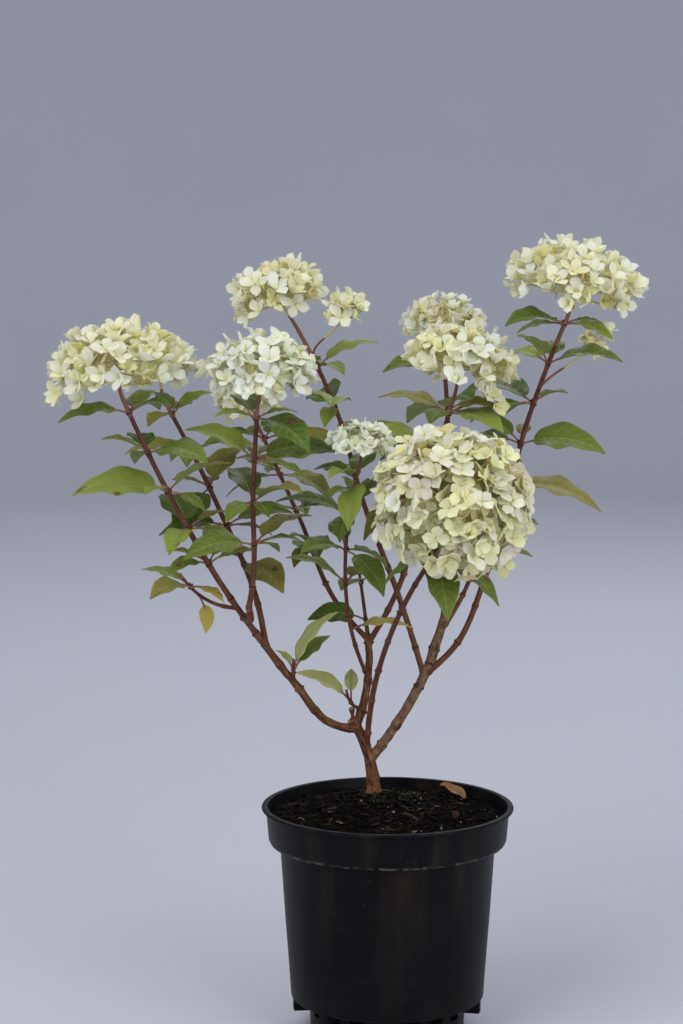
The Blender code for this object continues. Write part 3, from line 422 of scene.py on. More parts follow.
class Skeleton:
    """The routes of all the limbs, by the same rule as the solids'."""

    def __init__(self, limbs: Sequence[Limb]) -> None:
        """Keeps the boughs and canes, parents first, by name."""
        self.limbs = {limb.name: limb for limb in limbs}
        self.known: dict[str, tuple[Array, Array, Array]] = {}

    def knots(self, name: str) -> tuple[Array, Array, Array]:
        """The points that a limb runs through, how far along it each lies, and its way at each.

        Args:
            name: The limb's name.

        Returns:
            The points, the share of the limb at each, and its way there.
        """
        if name not in self.known:
            limb = self.limbs[name]
            if limb.parent:
                foot = self.point(limb.parent, limb.along)
            else:
                foot = np.array([*TRUNK_FOOT, SOIL_SEAT + GAP])
            points = np.array([foot, *limb.through, limb.tip])
            steps = np.linalg.norm(np.diff(points, axis=0), axis=1)
            shares = np.concatenate([[0], np.cumsum(steps)]) / steps.sum()
            self.known[name] = (points, shares, np.gradient(points, shares, axis=0, edge_order=2))
        return self.known[name]

    def point(self, name: str, share: float) -> Array:
        """The point at this share of a limb's way. Before its foot it runs straight on.

        Args:
            name: The limb's name.
            share: The share, from 0 at its foot to 1 at its tip.

        Returns:
            The point.
        """
        points, shares, ways = self.knots(name)
        if share < 0:
            return points[0] + ways[0] * share
        i = min(max(int(np.searchsorted(shares, share)) - 1, 0), len(points) - 2)
        span = shares[i + 1] - shares[i]
        t = (share - shares[i]) / span
        return (
            (1 + 2 * t) * (1 - t) ** 2 * points[i]
            + t * (1 - t) ** 2 * span * ways[i]
            + t**2 * (3 - 2 * t) * points[i + 1]
            + t**2 * (t - 1) * span * ways[i + 1]
        )

    def way(self, name: str, share: float) -> Array:
        """The direction of a limb at a share of its way."""
        step = 0.01
        low, high = max(0.0, share - step), min(1.0, share + step)
        return unit(self.point(name, high) - self.point(name, low))

    def radius(self, name: str, share: float) -> float:
        """A limb's radius at a share of its way, with the trunk's flare at its foot.

        Args:
            name: The limb's name.
            share: The share, from 0 at its foot to 1 at its tip.

        Returns:
            The radius.
        """
        limb = self.limbs[name]
        radius = limb.foot_radius + (limb.tip_radius - limb.foot_radius) * share
        if not limb.parent:
            height = self.point(name, share)[2] - SOIL_SEAT
            radius += (FLARE_RADIUS - limb.foot_radius) * exp(-height / FLARE_HEIGHT)
        return radius

    def line(self, name: str, shares: Array) -> tuple[Array, Array]:
        """The points and the radii at some shares of a limb's way.

        Args:
            name: The limb's name.
            shares: The shares.

        Returns:
            The points and the radii.
        """
        points = np.array([self.point(name, share) for share in shares])
        return points, np.array([self.radius(name, max(share, 0)) for share in shares])

    def length(self, name: str) -> float:
        """The length of a limb along its curve."""
        points = [self.point(name, share) for share in np.linspace(0, 1, 17)]
        return sum(np.linalg.norm(b - a) for a, b in zip(points, points[1:]))

    def leafy_start(self, name: str) -> float:
        """The share of a limb where its leafy shoot begins."""
        limb = self.limbs[name]
        return limb.bare + GAP / self.length(name) if limb.bare else 0.0

    def pair_share(self, limb: Limb, pair: int) -> float:
        """Where a pair of leaves sits on its limb. The first pair is the top one."""
        spacing = PAIR_SPACING * (1 + limb.leaf_scale) / 2
        return 1 - (limb.drop + pair * spacing) / self.length(limb.name)

    def beads(self) -> dict[str, Array]:
        """Points along every limb, each with the limb's radius there, by limb name.

        Returns:
            A row of four numbers a point, by limb name.
        """
        found = {}
        for name in self.limbs:
            count = max(3, round(self.length(name) / BEAD_SPACING) + 1)
            found[name] = np.column_stack(self.line(name, np.linspace(0, 1, count)))
        return found

    def spray(self, name: str) -> Spray:
        """The spray that a limb belongs to."""
        while name and name not in ("left_bough", "right_bough"):
            name = self.limbs[name].parent
        return {"left_bough": Spray.LEFT, "right_bough": Spray.RIGHT}.get(name, Spray.MIDDLE)


@dataclass(frozen=True)
class Leaf:
    """A leaf on its petiole, whose midrib runs out along a bearing and arches down."""

    shoot: str
    pair: int
    root: Place
    bearing: float
    rise: float
    roll: float
    length: float
    width: float
    tint: str = ""

    @property
    def reach(self) -> float:
        """The midrib's length with the petiole."""
        return self.length + PETIOLE

    def midrib(self, ways: Array) -> tuple[Array, Array, Array]:
        """Points along the petiole and midrib.

        Args:
            ways: Distances along them, in metres.

        Returns:
            The points, and the leaf's side and upper ways at each.
        """
        bend = radians(LEAF_BEND)
        angle = self.rise - bend * np.asarray(ways, float) / self.reach
        scale = self.reach / bend
        out = scale * (sin(self.rise) - np.sin(angle))
        up = scale * (np.cos(angle) - cos(self.rise))
        heading = np.array([cos(self.bearing), sin(self.bearing), 0])
        upright = np.array([0.0, 0.0, 1.0])
        points = np.array(self.root) + np.outer(out, heading) + np.outer(up, upright)
        side = np.array([heading[1], -heading[0], 0])
        tops = np.outer(np.cos(angle), upright) - np.outer(np.sin(angle), heading)
        turned_sides = side * cos(self.roll) + tops * sin(self.roll)
        turned_tops = tops * cos(self.roll) - side * sin(self.roll)
        return points, turned_sides, turned_tops

    def half_width(self, shares: Array) -> Array:
        """Half the blade's width: full near its base, and drawn out to a point at its tip."""
        shares = np.clip(shares, 0, 1)
        return self.width / 2 * FULL_SCALE * shares**SWELL * (1 - shares) ** DRAW_OUT

    def surface(self, shares: Array, across: Array) -> Array:
        """A grid of points of the folded blade, across from -1 at one edge to 1 at the other.

        Args:
            shares: The rows' places along the blade.
            across: The columns' places across it.

        Returns:
            The grid.
        """
        points, sides, tops = self.midrib(PETIOLE + shares * self.length)
        half = (self.half_width(shares)[:, None] * across[None, :])[..., None]
        fold = radians(LEAF_FOLD)
        return (
            points[:, None] + sides[:, None] * half * cos(fold)
            + tops[:, None] * abs(half) * sin(fold)
        )

    def samples(self) -> Array:
        """Points spread over the blade, by which it is kept clear of the rest."""
        across = np.array([-0.9, -0.45, 0, 0.45, 0.9])
        return self.surface(np.linspace(0.06, 0.98, 10), across).reshape(-1, 3)


def head_frame(head: Head, skeleton: Skeleton) -> tuple[Array, Array]:
    """The head's axis frame and half sizes. It faces along its shoot, turned half way upright."""
    axis = unit(skeleton.way(head.parent, min(1.0, head.along)) + np.array([0, 0, 1.0]))
    return basis(axis), np.array([head.width / 2, head.width / 2, head.height / 2])


class LeafLayout:
    """Sets the leaves on the canes, in opposite pairs, clear of all that is there before."""

    def __init__(self, skeleton: Skeleton, heads: Sequence[Head]) -> None:
        """Keeps what the leaves have to clear.

        Args:
            skeleton: The limbs' routes.
            heads: The flower heads.
        """
        self.skeleton = skeleton
        self.heads = [(head, *head_frame(head, skeleton)) for head in heads]
        self.beads = skeleton.beads()
        self.placed: list[tuple[Leaf, Array]] = []

    def fits(self, leaf: Leaf) -> bool:
        """Whether a leaf keeps clear of the limbs, the heads and the leaves placed before it.

        Args:
            leaf: The leaf.

        Returns:
            True where it does.
        """
        points = leaf.samples()
        for name, line in self.beads.items():
            if name == leaf.shoot:
                apart = np.linalg.norm(line[:, :3] - np.array(leaf.root), axis=1)
                line = line[apart > ROOT_FREE]
            apart = np.linalg.norm(points[:, None] - line[None, :, :3], axis=2)
            if (apart - line[None, :, 3] < LIMB_CLEAR).any():
                return False
        for head, turn, half in self.heads:
            local = (points - np.array(head.centre)) @ turn
            inside = ((local / (half + HEAD_CLEAR)) ** 2).sum(axis=1) < 1
            if (inside & (local[:, 2] > HEAD_LOWEST * half[2] - HEAD_CLEAR)).any():
                return False
        if (points[:, 2] < SOIL_SEAT + LEAF_CLEAR).any():
            return False
        for other, spots in self.placed:
            apart = np.linalg.norm(points[:, None] - spots[None], axis=2)
            if (apart < (SAME_SHOOT_CLEAR if other.shoot == leaf.shoot else LEAF_CLEAR)).any():
                return False
        return True

    def seen(self, limb: Limb, pair: int, side: int) -> tuple | None:
        """The bearing, rise, roll, size and tint of a leaf that is set as seen.

        Args:
            limb: Its limb.
            pair: The number of its pair.
            side: Its place in the pair.

        Returns:
            These five, or None where no leaf was seen.
        """
        pairs = SEEN_LEAVES.get(limb.name, ())
        leaves = pairs[pair] if pair < len(pairs) else ()
        if side >= len(leaves):
            return None
        bearing, climb, size, facing, tint = leaves[side]
        bearing = radians(bearing)
        return bearing, climb + LEAF_BEND / 2, -facing * cos(bearing), size, tint

    def ruled(self, limb: Limb, pair: int, side: int, draw: random.Random) -> tuple:
        """The bearing, rise, roll and size of a leaf that is set by rule, with no tint of its own.

        Args:
            limb: Its limb.
            pair: The number of its pair.
            side: Its place in the pair.
            draw: The source of what varies.

        Returns:
            These four and an empty tint.
        """
        turn = limb.turn + 90 * pair + 180 * side + draw.uniform(-TURN_VARIES, TURN_VARIES)
        turn = radians(turn)
        ring = np.array([cos(turn), sin(turn), 0])
        out = basis(self.skeleton.way(limb.name, self.skeleton.pair_share(limb, pair))) @ ring
        size = limb.leaf_scale * (1 - PAIR_LOSS * abs(pair - FULL_PAIR)) * draw.uniform(*LEAF_SIZES)
        rise = LEAF_RISE - LEAF_DROOP * pair + draw.uniform(-RISE_VARIES, RISE_VARIES)
        rise += SLOPE_SHARE * degrees(asin(out[2]))
        bearing = atan2(out[1], out[0])
        roll = draw.uniform(-ROLL_VARIES, ROLL_VARIES) - LIGHT_LEAN * cos(bearing)
        return bearing, rise, roll, size, ""

    def tries(self, limb: Limb, pair: int, side: int, draw: random.Random) -> Iterator[Leaf]:
        """The ways that a leaf may be set at its node, the best one first.

        Args:
            limb: Its limb.
            pair: The number of its pair.
            side: Its place in the pair.
            draw: The source of what varies.

        Yields:
            The leaf, set in one of them.
        """
        root = self.skeleton.point(limb.name, self.skeleton.pair_share(limb, pair))
        how = self.seen(limb, pair, side) or self.ruled(limb, pair, side, draw)
        bearing, rise, roll, size, tint = how
        for lift, swing, scale in LEAF_TRIES:
            yield Leaf(
                limb.name, pair, tuple(root), bearing + radians(swing),
                radians(rise + lift), radians(roll), LEAF_LENGTH * size * scale,
                LEAF_WIDTH * size * scale, tint,
            )

    def fill(self, canes: Sequence[Limb]) -> list[Leaf]:
        """Adds the leaves that are too small for the solids: loose ones, and those of side buds.

        Args:
            canes: The limbs that bear leaves.

        Returns:
            The added leaves.
        """
        count = len(self.placed)
        for name, share, bearing, climb, size, facing, tint in LOOSE_LEAVES:
            bearing = radians(bearing)
            rise, roll = radians(climb + LEAF_BEND / 2), -radians(facing) * cos(bearing)
            leaf = Leaf(name, 0, tuple(self.skeleton.point(name, share)), bearing, rise, roll,
                        LEAF_LENGTH * size, LEAF_WIDTH * size, tint)
            self.placed.append((leaf, leaf.samples()))
        for limb in canes:
            draw = random.Random(limb.name + " side leaves")
            for pair in range(limb.pairs + 1):
                share = self.skeleton.pair_share(limb, pair)
                root, left = tuple(self.skeleton.point(limb.name, share)), SIDE_LEAVES
                if share < self.skeleton.leafy_start(limb.name) or root[2] < SIDE_LOWEST:
                    break
                for _ in range(SIDE_TRIES):
                    bearing, size = draw.uniform(-pi, pi), draw.uniform(*SIDE_SIZES)
                    rise, roll = draw.uniform(5, 62), draw.uniform(0, 26) * -cos(bearing)
                    leaf = Leaf(limb.name, pair, root, bearing, radians(rise), radians(roll),
                                LEAF_LENGTH * size, LEAF_WIDTH * size * 0.92)
                    if left and self.fits(leaf):
                        self.placed.append((leaf, leaf.samples()))
                        left -= 1
        return [leaf for leaf, _ in self.placed[count:]]

    def grow(self, canes: Sequence[Limb]) -> list[Leaf]:
        """All the leaves.

        Args:
            canes: The limbs that bear leaves, in the order of the solids.

        Returns:
            The leaves in the order they were set.
        """
        for limb in canes:
            draw = random.Random(limb.name)
            length = self.skeleton.length(limb.name)
            lowest = self.skeleton.leafy_start(limb.name) + BEAD_SPACING / length
            for pair in range(limb.pairs):
                if self.skeleton.pair_share(limb, pair) < lowest:
                    break
                for side in range(3 if self.seen(limb, pair, 2) else 2):
                    tries = self.tries(limb, pair, side, draw)
                    leaf = next((leaf for leaf in tries if self.fits(leaf)), None)
                    if leaf:
                        self.placed.append((leaf, leaf.samples()))
        return [leaf for leaf, _ in self.placed]


class Sculpt:
    """Gathers many small shapes as arrays and makes them one mesh."""

    def __init__(self, name: str, finishes: Finishes, slots: Sequence[str]) -> None:
        """Starts an empty piece.

        Args:
            name: The piece's name.
            finishes: All the finishes, by name.
            slots: The names of the piece's own, slot by slot.
        """
        self.name = name
        self.finishes = [finishes[slot] for slot in slots]
        self.slots = {slot: i for i, slot in enumerate(slots)}
        self.points: list[Array] = []
        self.patches: list[tuple[Array, ...]] = []
        self.count = 0

    def add(self, shape: Shape, *finishes: str | Array) -> None:
        """Adds a shape.

        Args:
            shape: Its points and its patches.
            finishes: The finish of each patch, or one for all: its name, or a slot for each face.
        """
        points, patches = shape
        if len(finishes) == 1:
            finishes *= len(patches)
        for (faces, pattern), finish in zip(patches, finishes):
            slot = self.slots[finish] if isinstance(finish, str) else finish
            self.patches.append((
                (faces + self.count).ravel(), np.full(len(faces), faces.shape[1]),
                np.broadcast_to(slot, len(faces)), pattern.reshape(-1, 2),
            ))
        self.points.append(points)
        self.count += len(points)

    def finish(self, crease: float = 50) -> Object:
        """Makes the mesh, smooth apart from edges sharper than the crease in degrees.

        Args:
            crease: The crease.

        Returns:
            The piece.
        """
        corners, sizes, slots, spots = (np.concatenate(part) for part in zip(*self.patches))
        starts = np.concatenate([[0], np.cumsum(sizes)[:-1]])
        mesh = bpy.data.meshes.new(self.name)
        mesh.vertices.add(self.count)
        mesh.vertices.foreach_set("co", np.concatenate(self.points).astype(np.float32).ravel())
        mesh.loops.add(len(corners))
        mesh.loops.foreach_set("vertex_index", corners.astype(np.int32))
        mesh.polygons.add(len(sizes))
        mesh.polygons.foreach_set("loop_start", starts.astype(np.int32))
        for finish in self.finishes:
            mesh.materials.append(finish)
        mesh.polygons.foreach_set("material_index", slots.astype(np.int32))
        mesh.update(calc_edges=True)
        pattern = mesh.uv_layers.new(name="pattern")
        pattern.data.foreach_set("uv", spots.astype(np.float32).ravel())
        mesh.validate()
        mesh.shade_smooth()
        mesh.set_sharp_from_angle(angle=radians(crease))
        piece = bpy.data.objects.new(self.name, mesh)
        bpy.context.scene.collection.objects.link(piece)
        return piece


def grid_faces(rows: int, columns: int, closed: bool = False) -> Patch:
    """The faces of a grid of points.

    Args:
        rows: How many rows of points.
        columns: How many points in a row.
        closed: Whether each row is a ring.

    Returns:
        The corners' numbers, and each corner's column and row.
    """
    across = np.arange(columns if closed else columns - 1)
    i, j = (side.ravel() for side in np.meshgrid(np.arange(rows - 1), across, indexing="ij"))
    row = np.stack([i, i, i + 1, i + 1], axis=1)
    column = np.stack([j, j + 1, j + 1, j], axis=1)
    return row * columns + column % columns, np.stack([column, row], axis=2).astype(float)


def tube(points: Array, radii: Array | float, sides: int, around: float = 0.006) -> Shape:
    """A closed tube.

    Args:
        points: Its middle line.
        radii: Its radius, the same all along, at each point, or at each point and side.
        sides: How many sides it has.
        around: The width of its pattern, in metres.

    Returns:
        Its points, with its skin and its two ends as patches.
    """
    points, radii = np.asarray(points, float), np.asarray(radii, float)
    radii = radii[:, None] if radii.ndim == 1 else radii
    radii = np.broadcast_to(radii, (len(points), sides))
    steps = np.linalg.norm(np.diff(points, axis=0), axis=1)
    along = np.concatenate([[0], np.cumsum(steps)])
    turn = ring_turns(sides)
    rings = []
    for point, way, radius in zip(points, np.gradient(points, axis=0), radii):
        across, up, _ = basis(way).T
        ring = np.outer(np.cos(turn), across) + np.outer(np.sin(turn), up)
        rings.append(point + ring * radius[:, None])
    faces, spots = grid_faces(len(points), sides, closed=True)
    pattern = np.stack([spots[..., 0] * around / sides, along[spots[..., 1].astype(int)]], axis=2)
    count, last = len(points) * sides, (len(points) - 1) * sides
    ends = [((j + 1) % sides, j, count) for j in range(sides)]
    ends += [(last + j, last + (j + 1) % sides, count + 1) for j in range(sides)]
    flat = np.zeros((2 * sides, 3, 2))
    flat[sides:] = along[-1]
    return np.concatenate([*rings, points[[0, -1]]]), [(faces, pattern), (np.array(ends), flat)]


def shell(top: Array, bottom: Array) -> Shape:
    """A thin closed sheet.

    Args:
        top: A grid of points of its upper face.
        bottom: The same grid on its lower face.

    Returns:
        Its points, with its upper face, lower face and rim as patches, on a pattern that runs from
        -1 to 1 across and from 0 to 1 along.
    """
    rows, columns = top.shape[:2]
    faces, spots = grid_faces(rows, columns)
    scale = np.array([2 / (columns - 1), 1 / (rows - 1)])
    pattern = spots * scale - np.array([1, 0])
    number = np.arange(rows * columns).reshape(rows, columns)
    edge = np.concatenate([number[0, :-1], number[:-1, -1], number[-1, :0:-1], number[:0:-1, 0]])
    follow = np.roll(edge, -1)
    lower = rows * columns
    rim = np.stack([edge + lower, follow + lower, follow, edge], axis=1)[:, ::-1]
    place = np.stack([edge % columns, edge // columns], axis=1) * scale - np.array([1, 0])
    after = np.roll(place, -1, axis=0)
    rim_pattern = np.stack([place, after, after, place], axis=1)[:, ::-1]
    points = np.concatenate([top.reshape(-1, 3), bottom.reshape(-1, 3)])
    return points, [
        (faces, pattern), (faces[:, ::-1] + lower, pattern[:, ::-1]), (rim, rim_pattern),
    ]


def rough_lump() -> Shape:
    """A plain twenty-sided lump of half size 1.

    Returns:
        Its points, with its faces as one patch.
    """
    bm = bmesh.new()
    bmesh.ops.create_icosphere(bm, subdivisions=1, radius=1)
    points = np.array([vertex.co[:] for vertex in bm.verts])
    faces = np.array([[vertex.index for vertex in face.verts] for face in bm.faces])
    bm.free()
    return points, [(faces, np.zeros((len(faces), 3, 2)))]


LUMP, LUMP_SKIN = rough_lump()


class Nodes:
    """Lays out and links the nodes of one material or group."""

    def __init__(self, tree: bpy.types.NodeTree) -> None:
        """Keeps the tree."""
        self.tree = tree

    def add(self, kind: str, settings: dict | None = None, **inputs: object) -> bpy.types.Node:
        """Adds a node.

        Args:
            kind: The node's type.
            settings: Values for the node's own properties.
            inputs: Values or sockets for its inputs, with an underscore for each space.

        Returns:
            The node.
        """
        node = self.tree.nodes.new(kind)
        for name, value in (settings or {}).items():
            setattr(node, name, value)
        for name, value in inputs.items():
            key = name.replace("_", " ")
            socket = node.inputs[int(key[5:])] if key.startswith("input") else node.inputs[key]
            if isinstance(value, Socket):
                self.tree.links.new(value, socket)
            else:
                socket.default_value = value
        return node

    def place(self) -> Socket:
        """Where a spot lies on its object, in metres."""
        return self.add("ShaderNodeTexCoord").outputs["Object"]

    def pattern(self) -> Socket:
        """Where a spot lies on its piece's pattern map."""
        return self.add("ShaderNodeUVMap", {"uv_map": "pattern"}).outputs[0]

    def split(self, vector: Socket) -> Sequence[Socket]:
        """The X, Y and Z of a vector."""
        return self.add("ShaderNodeSeparateXYZ", None, Vector=vector).outputs

    def scaled(self, vector: Socket, scale: Place) -> Socket:
        """A pattern's coordinates, stretched."""
        return self.add("ShaderNodeMapping", None, Vector=vector, Scale=scale).outputs[0]

    def clouds(self, where: Socket, scale: object, detail: float, roughness: float = 0.5) -> Socket:
        """A soft uneven pattern from 0 to 1."""
        return self.add("ShaderNodeTexNoise", None, Vector=where, Scale=scale, Detail=detail,
                        Roughness=roughness).outputs[0]

    def math(self, operation: str, first: object, second: object = 0.0) -> Socket:
        """The result of a sum on values or sockets."""
        settings = {"operation": operation}
        return self.add("ShaderNodeMath", settings, input0=first, input1=second).outputs[0]

    def mix(self, share: Socket, first: object, second: object) -> Socket:
        """A colour between two, by a share from 0 to 1."""
        settings = {"data_type": "RGBA"}
        return self.add("ShaderNodeMix", settings, input0=share, input6=first, input7=second).outputs[2]

    def ramp(self, value: Socket, low: object, high: object, least: float = 0.0,
             most: float = 1.0) -> Socket:
        """A value brought from one range to another, and kept inside it."""
        return self.add("ShaderNodeMapRange", None, Value=value, From_Min=low, From_Max=high,
                        To_Min=least, To_Max=most).outputs[0]

    def group(self, group: bpy.types.NodeTree, **inputs: object) -> Socket:
        """The result of a shared group with its values."""
        return self.add("ShaderNodeGroup", {"node_tree": group}, **inputs).outputs[0]


def new_group(name: str, inputs: dict[str, object], output: str, kind: str,
              fill: Callable[[Nodes, Sequence[Socket]], Socket]) -> bpy.types.NodeTree:
    """A node group that several materials share.

    Args:
        name: Its name.
        inputs: The first value of each input, or None for coordinates.
        output: The name of its output.
        kind: The socket type of its output.
        fill: Lays out its inside, from the sockets of its inputs to that of its output.

    Returns:
        The group.
    """
    tree = bpy.data.node_groups.new(name, "ShaderNodeTree")
    kinds = {float: "NodeSocketFloat", tuple: "NodeSocketColor"}
    for title, value in inputs.items():
        socket_type = kinds.get(type(value), "NodeSocketVector")
        socket = tree.interface.new_socket(title, in_out="INPUT", socket_type=socket_type)
        if value is not None:
            socket.default_value = value
    tree.interface.new_socket(output, in_out="OUTPUT", socket_type=kind)
    nodes = Nodes(tree)
    result = fill(nodes, nodes.add("NodeGroupInput").outputs)
    nodes.add("NodeGroupOutput", None, **{output: result})
    return tree


def fill_mottle(nodes: Nodes, given: Sequence[Socket]) -> Socket:
    """Two tones that change softly over a surface.

    Args:
        nodes: The group's nodes.
        given: Its inputs.

    Returns:
        The colour.
    """
    low = nodes.math("SUBTRACT", 0.5, given["Softness"])
    high = nodes.math("ADD", 0.5, given["Softness"])
    mask = nodes.ramp(nodes.clouds(given["Vector"], given["Scale"], 4.0, 0.6), low, high)
    return nodes.mix(mask, given["Tone"], given["Second Tone"])


def fill_grain(nodes: Nodes, given: Sequence[Socket]) -> Socket:
    """A fine uneven surface, as a normal.

    Args:
        nodes: The group's nodes.
        given: Its inputs.

    Returns:
        The normal.
    """
    wave = nodes.clouds(given["Vector"], given["Scale"], 5.0, 0.65)
    return nodes.add("ShaderNodeBump", None, Strength=given["Strength"], Distance=given["Depth"],
                     Height=wave).outputs[0]


MOTTLE = new_group(
    "mottle",
    {"Vector": None, "Scale": 100.0, "Softness": 0.15, "Tone": (0.5, 0.5, 0.5, 1),
     "Second Tone": (0.4, 0.4, 0.4, 1)},
    "Colour", "NodeSocketColor", fill_mottle,
)
GRAIN = new_group(
    "grain", {"Vector": None, "Scale": 500.0, "Strength": 0.3, "Depth": 0.0005},
    "Normal", "NodeSocketVector", fill_grain,
)


@dataclass(frozen=True)
class Finish:
    """A finish in two tones that change over the surface, with its own grain."""

    name: str
    tone: Colour
    second: Colour
    roughness: float = 0.6
    mottle_scale: float = 90.0
    softness: float = 0.15
    grain_scale: float = 600.0
    grain_strength: float = 0.3
    grain_depth: float = 0.0004
    subsurface: float = 0.0
    stretch: Place = (1.0, 1.0, 1.0)
    gloss: float = 0.5

    def coordinates(self, nodes: Nodes) -> Socket:
        """The coordinates that the patterns follow."""
        return nodes.scaled(nodes.place(), self.stretch)

    def layers(self, nodes: Nodes, where: Socket) -> Layers:
        """The colours laid over the two tones, each with its share: none on a plain surface."""
        return iter(())

    def colour(self, nodes: Nodes, where: Socket) -> Socket:
        """The surface's colour.

        Args:
            nodes: The material's nodes.
            where: The coordinates that it follows.

        Returns:
            The colour.
        """
        plain = nodes.group(MOTTLE, Vector=where, Scale=self.mottle_scale, Softness=self.softness,
                            Tone=(*self.tone, 1), Second_Tone=(*self.second, 1))
        for colour, share in self.layers(nodes, where):
            plain = nodes.mix(share, plain, (*colour, 1))
        return plain

    def normal(self, nodes: Nodes, where: Socket) -> Socket:
        """The surface's fine relief."""
        return nodes.group(GRAIN, Vector=where, Scale=self.grain_scale, Depth=self.grain_depth,
                           Strength=self.grain_strength)

    def material(self) -> Material:
        """Builds the material.

        Returns:
            The material.
        """
        finish = bpy.data.materials.new(self.name)
        finish.use_nodes = True
        finish.diffuse_color = (*self.tone, 1)
        nodes = Nodes(finish.node_tree)
        inputs = finish.node_tree.nodes["Principled BSDF"].inputs
        where = self.coordinates(nodes)
        nodes.tree.links.new(self.colour(nodes, where), inputs["Base Color"])
        nodes.tree.links.new(self.normal(nodes, where), inputs["Normal"])
        inputs["Roughness"].default_value = self.roughness
        inputs["Specular IOR Level"].default_value = self.gloss
        if self.subsurface:
            inputs["Subsurface Weight"].default_value = self.subsurface
            inputs["Subsurface Radius"].default_value = GLOW_TINT
            inputs["Subsurface Scale"].default_value = GLOW_DEPTH
        return finish


@dataclass(frozen=True)
class PlasticFinish(Finish):
    """Moulded black plastic with runs of dried soil and a scuffed line under the collar."""

    wet: Colour = (0.001, 0.0013, 0.0024)
    soil: Colour = (0.026, 0.019, 0.012)
    scuff: Colour = (0.11, 0.105, 0.095)
    speck: Colour = (0.07, 0.065, 0.058)

    def layers(self, nodes: Nodes, where: Socket) -> Layers:
        """Damp patches, brown runs, a pale line along the collar's lower edge, and specks.

        Args:
            nodes: The material's nodes.
            where: Not used; the layers follow the object's own coordinates.

        Yields:
            Each colour and its share.
        """
        place = nodes.place()
        damp = nodes.clouds(nodes.scaled(place, (20, 20, 11)), 1.0, 5.0)
        yield self.wet, nodes.ramp(damp, 0.48, 0.62, 0.0, 0.7)
        runs = nodes.clouds(nodes.scaled(place, (40, 40, 5.5)), 1.0, 5.0)
        height = nodes.split(place)["Z"]
        yield self.soil, nodes.math(
            "MULTIPLY", nodes.ramp(runs, 0.5, 0.74, 0.0, 0.8),
            nodes.ramp(height, COLLAR_FOOT - 0.09, COLLAR_FOOT - 0.02, 0.16, 1.0))
        away = nodes.math("ABSOLUTE", nodes.math("SUBTRACT", height, COLLAR_FOOT + WALL / 2))
        broken = nodes.ramp(nodes.clouds(place, 160.0, 4.0), 0.45, 0.62, 0.0, 0.8)
        yield self.scuff, nodes.math("MULTIPLY", nodes.ramp(away, 0.0022, 0.0004), broken)
        yield self.speck, nodes.ramp(nodes.clouds(place, 420.0, 2.0), 0.7, 0.76, 0.0, 0.5)


@dataclass(frozen=True)
class PatternFinish(Finish):
    """A finish that follows its piece's own pattern map."""

    mottle_scale: float = 1.0

    def coordinates(self, nodes: Nodes) -> Socket:
        """The pattern map, stretched."""
        return nodes.scaled(nodes.pattern(), self.stretch)


@dataclass(frozen=True)
class BarkFinish(PatternFinish):
    """Old bark that follows its limb: dark fissures, brown bark and pale peeling strips."""

    roughness: float = 0.72
    grain_scale: float = 4.0
    grain_strength: float = 0.8
    grain_depth: float = 0.001
    strips: Colour = (0.36, 0.195, 0.095)
    fissures: Colour = (0.026, 0.01, 0.005)

    def layers(self, nodes: Nodes, where: Socket) -> Layers:
        """Paler strips, and dark fissures.

        Args:
            nodes: The material's nodes.
            where: The coordinates that they follow.

        Yields:
            Each colour and its share.
        """
        strips = nodes.clouds(where, self.mottle_scale * 0.6, 6.0, 0.7)
        yield self.strips, nodes.ramp(strips, 0.56, 0.64, 0.0, 0.8)
        yield self.fissures, nodes.ramp(strips, 0.47, 0.38, 0.0, 0.85)


@dataclass(frozen=True)
class CaneFinish(PatternFinish):
    """Smooth cane bark with small pale pores."""

    roughness: float = 0.5
    grain_scale: float = 3.0
    gloss: float = 0.3
    pores: Colour = (0.36, 0.22, 0.14)

    def layers(self, nodes: Nodes, where: Socket) -> Layers:
        """The pores."""
        dots = nodes.add("ShaderNodeTexVoronoi", None, Vector=where, Scale=self.mottle_scale * 3)
        yield self.pores, nodes.ramp(dots.outputs["Distance"], 0.16, 0.08, 0.0, 0.6)


@dataclass(frozen=True)
class LeafFinish(PatternFinish):
    """A leaf's face, with paler veins that sweep forward from the midrib."""

    mottle_scale: float = 2.2
    grain_scale: float = 14.0
    grain_strength: float = 0.35
    gloss: float = 0.18
    vein: Colour = (0.34, 0.42, 0.14)

    def veins(self, nodes: Nodes) -> Socket:
        """How near a vein a place is, from 0 to 1.

        Args:
            nodes: The material's nodes.

        Returns:
            The nearness.
        """
        spot = nodes.split(nodes.pattern())
        across = nodes.math("ABSOLUTE", spot["X"])
        along = nodes.math("MULTIPLY", spot["Y"], VEIN_PAIRS)
        sweep = nodes.math("SUBTRACT", along, nodes.math("MULTIPLY", across, VEIN_SWEEP))
        fine = nodes.ramp(nodes.math("PINGPONG", sweep, 0.5), 0.09, 0.02, 0.0, 0.75)
        return nodes.math("MAXIMUM", fine, nodes.ramp(across, 0.07, 0.03))

    def layers(self, nodes: Nodes, where: Socket) -> Layers:
        """The veins, in a tone between their own and the blade's."""
        pale = tuple(0.55 * channel + 0.45 * vein for channel, vein in zip(self.tone, self.vein))
        yield pale, nodes.math("MULTIPLY", self.veins(nodes), 0.8)


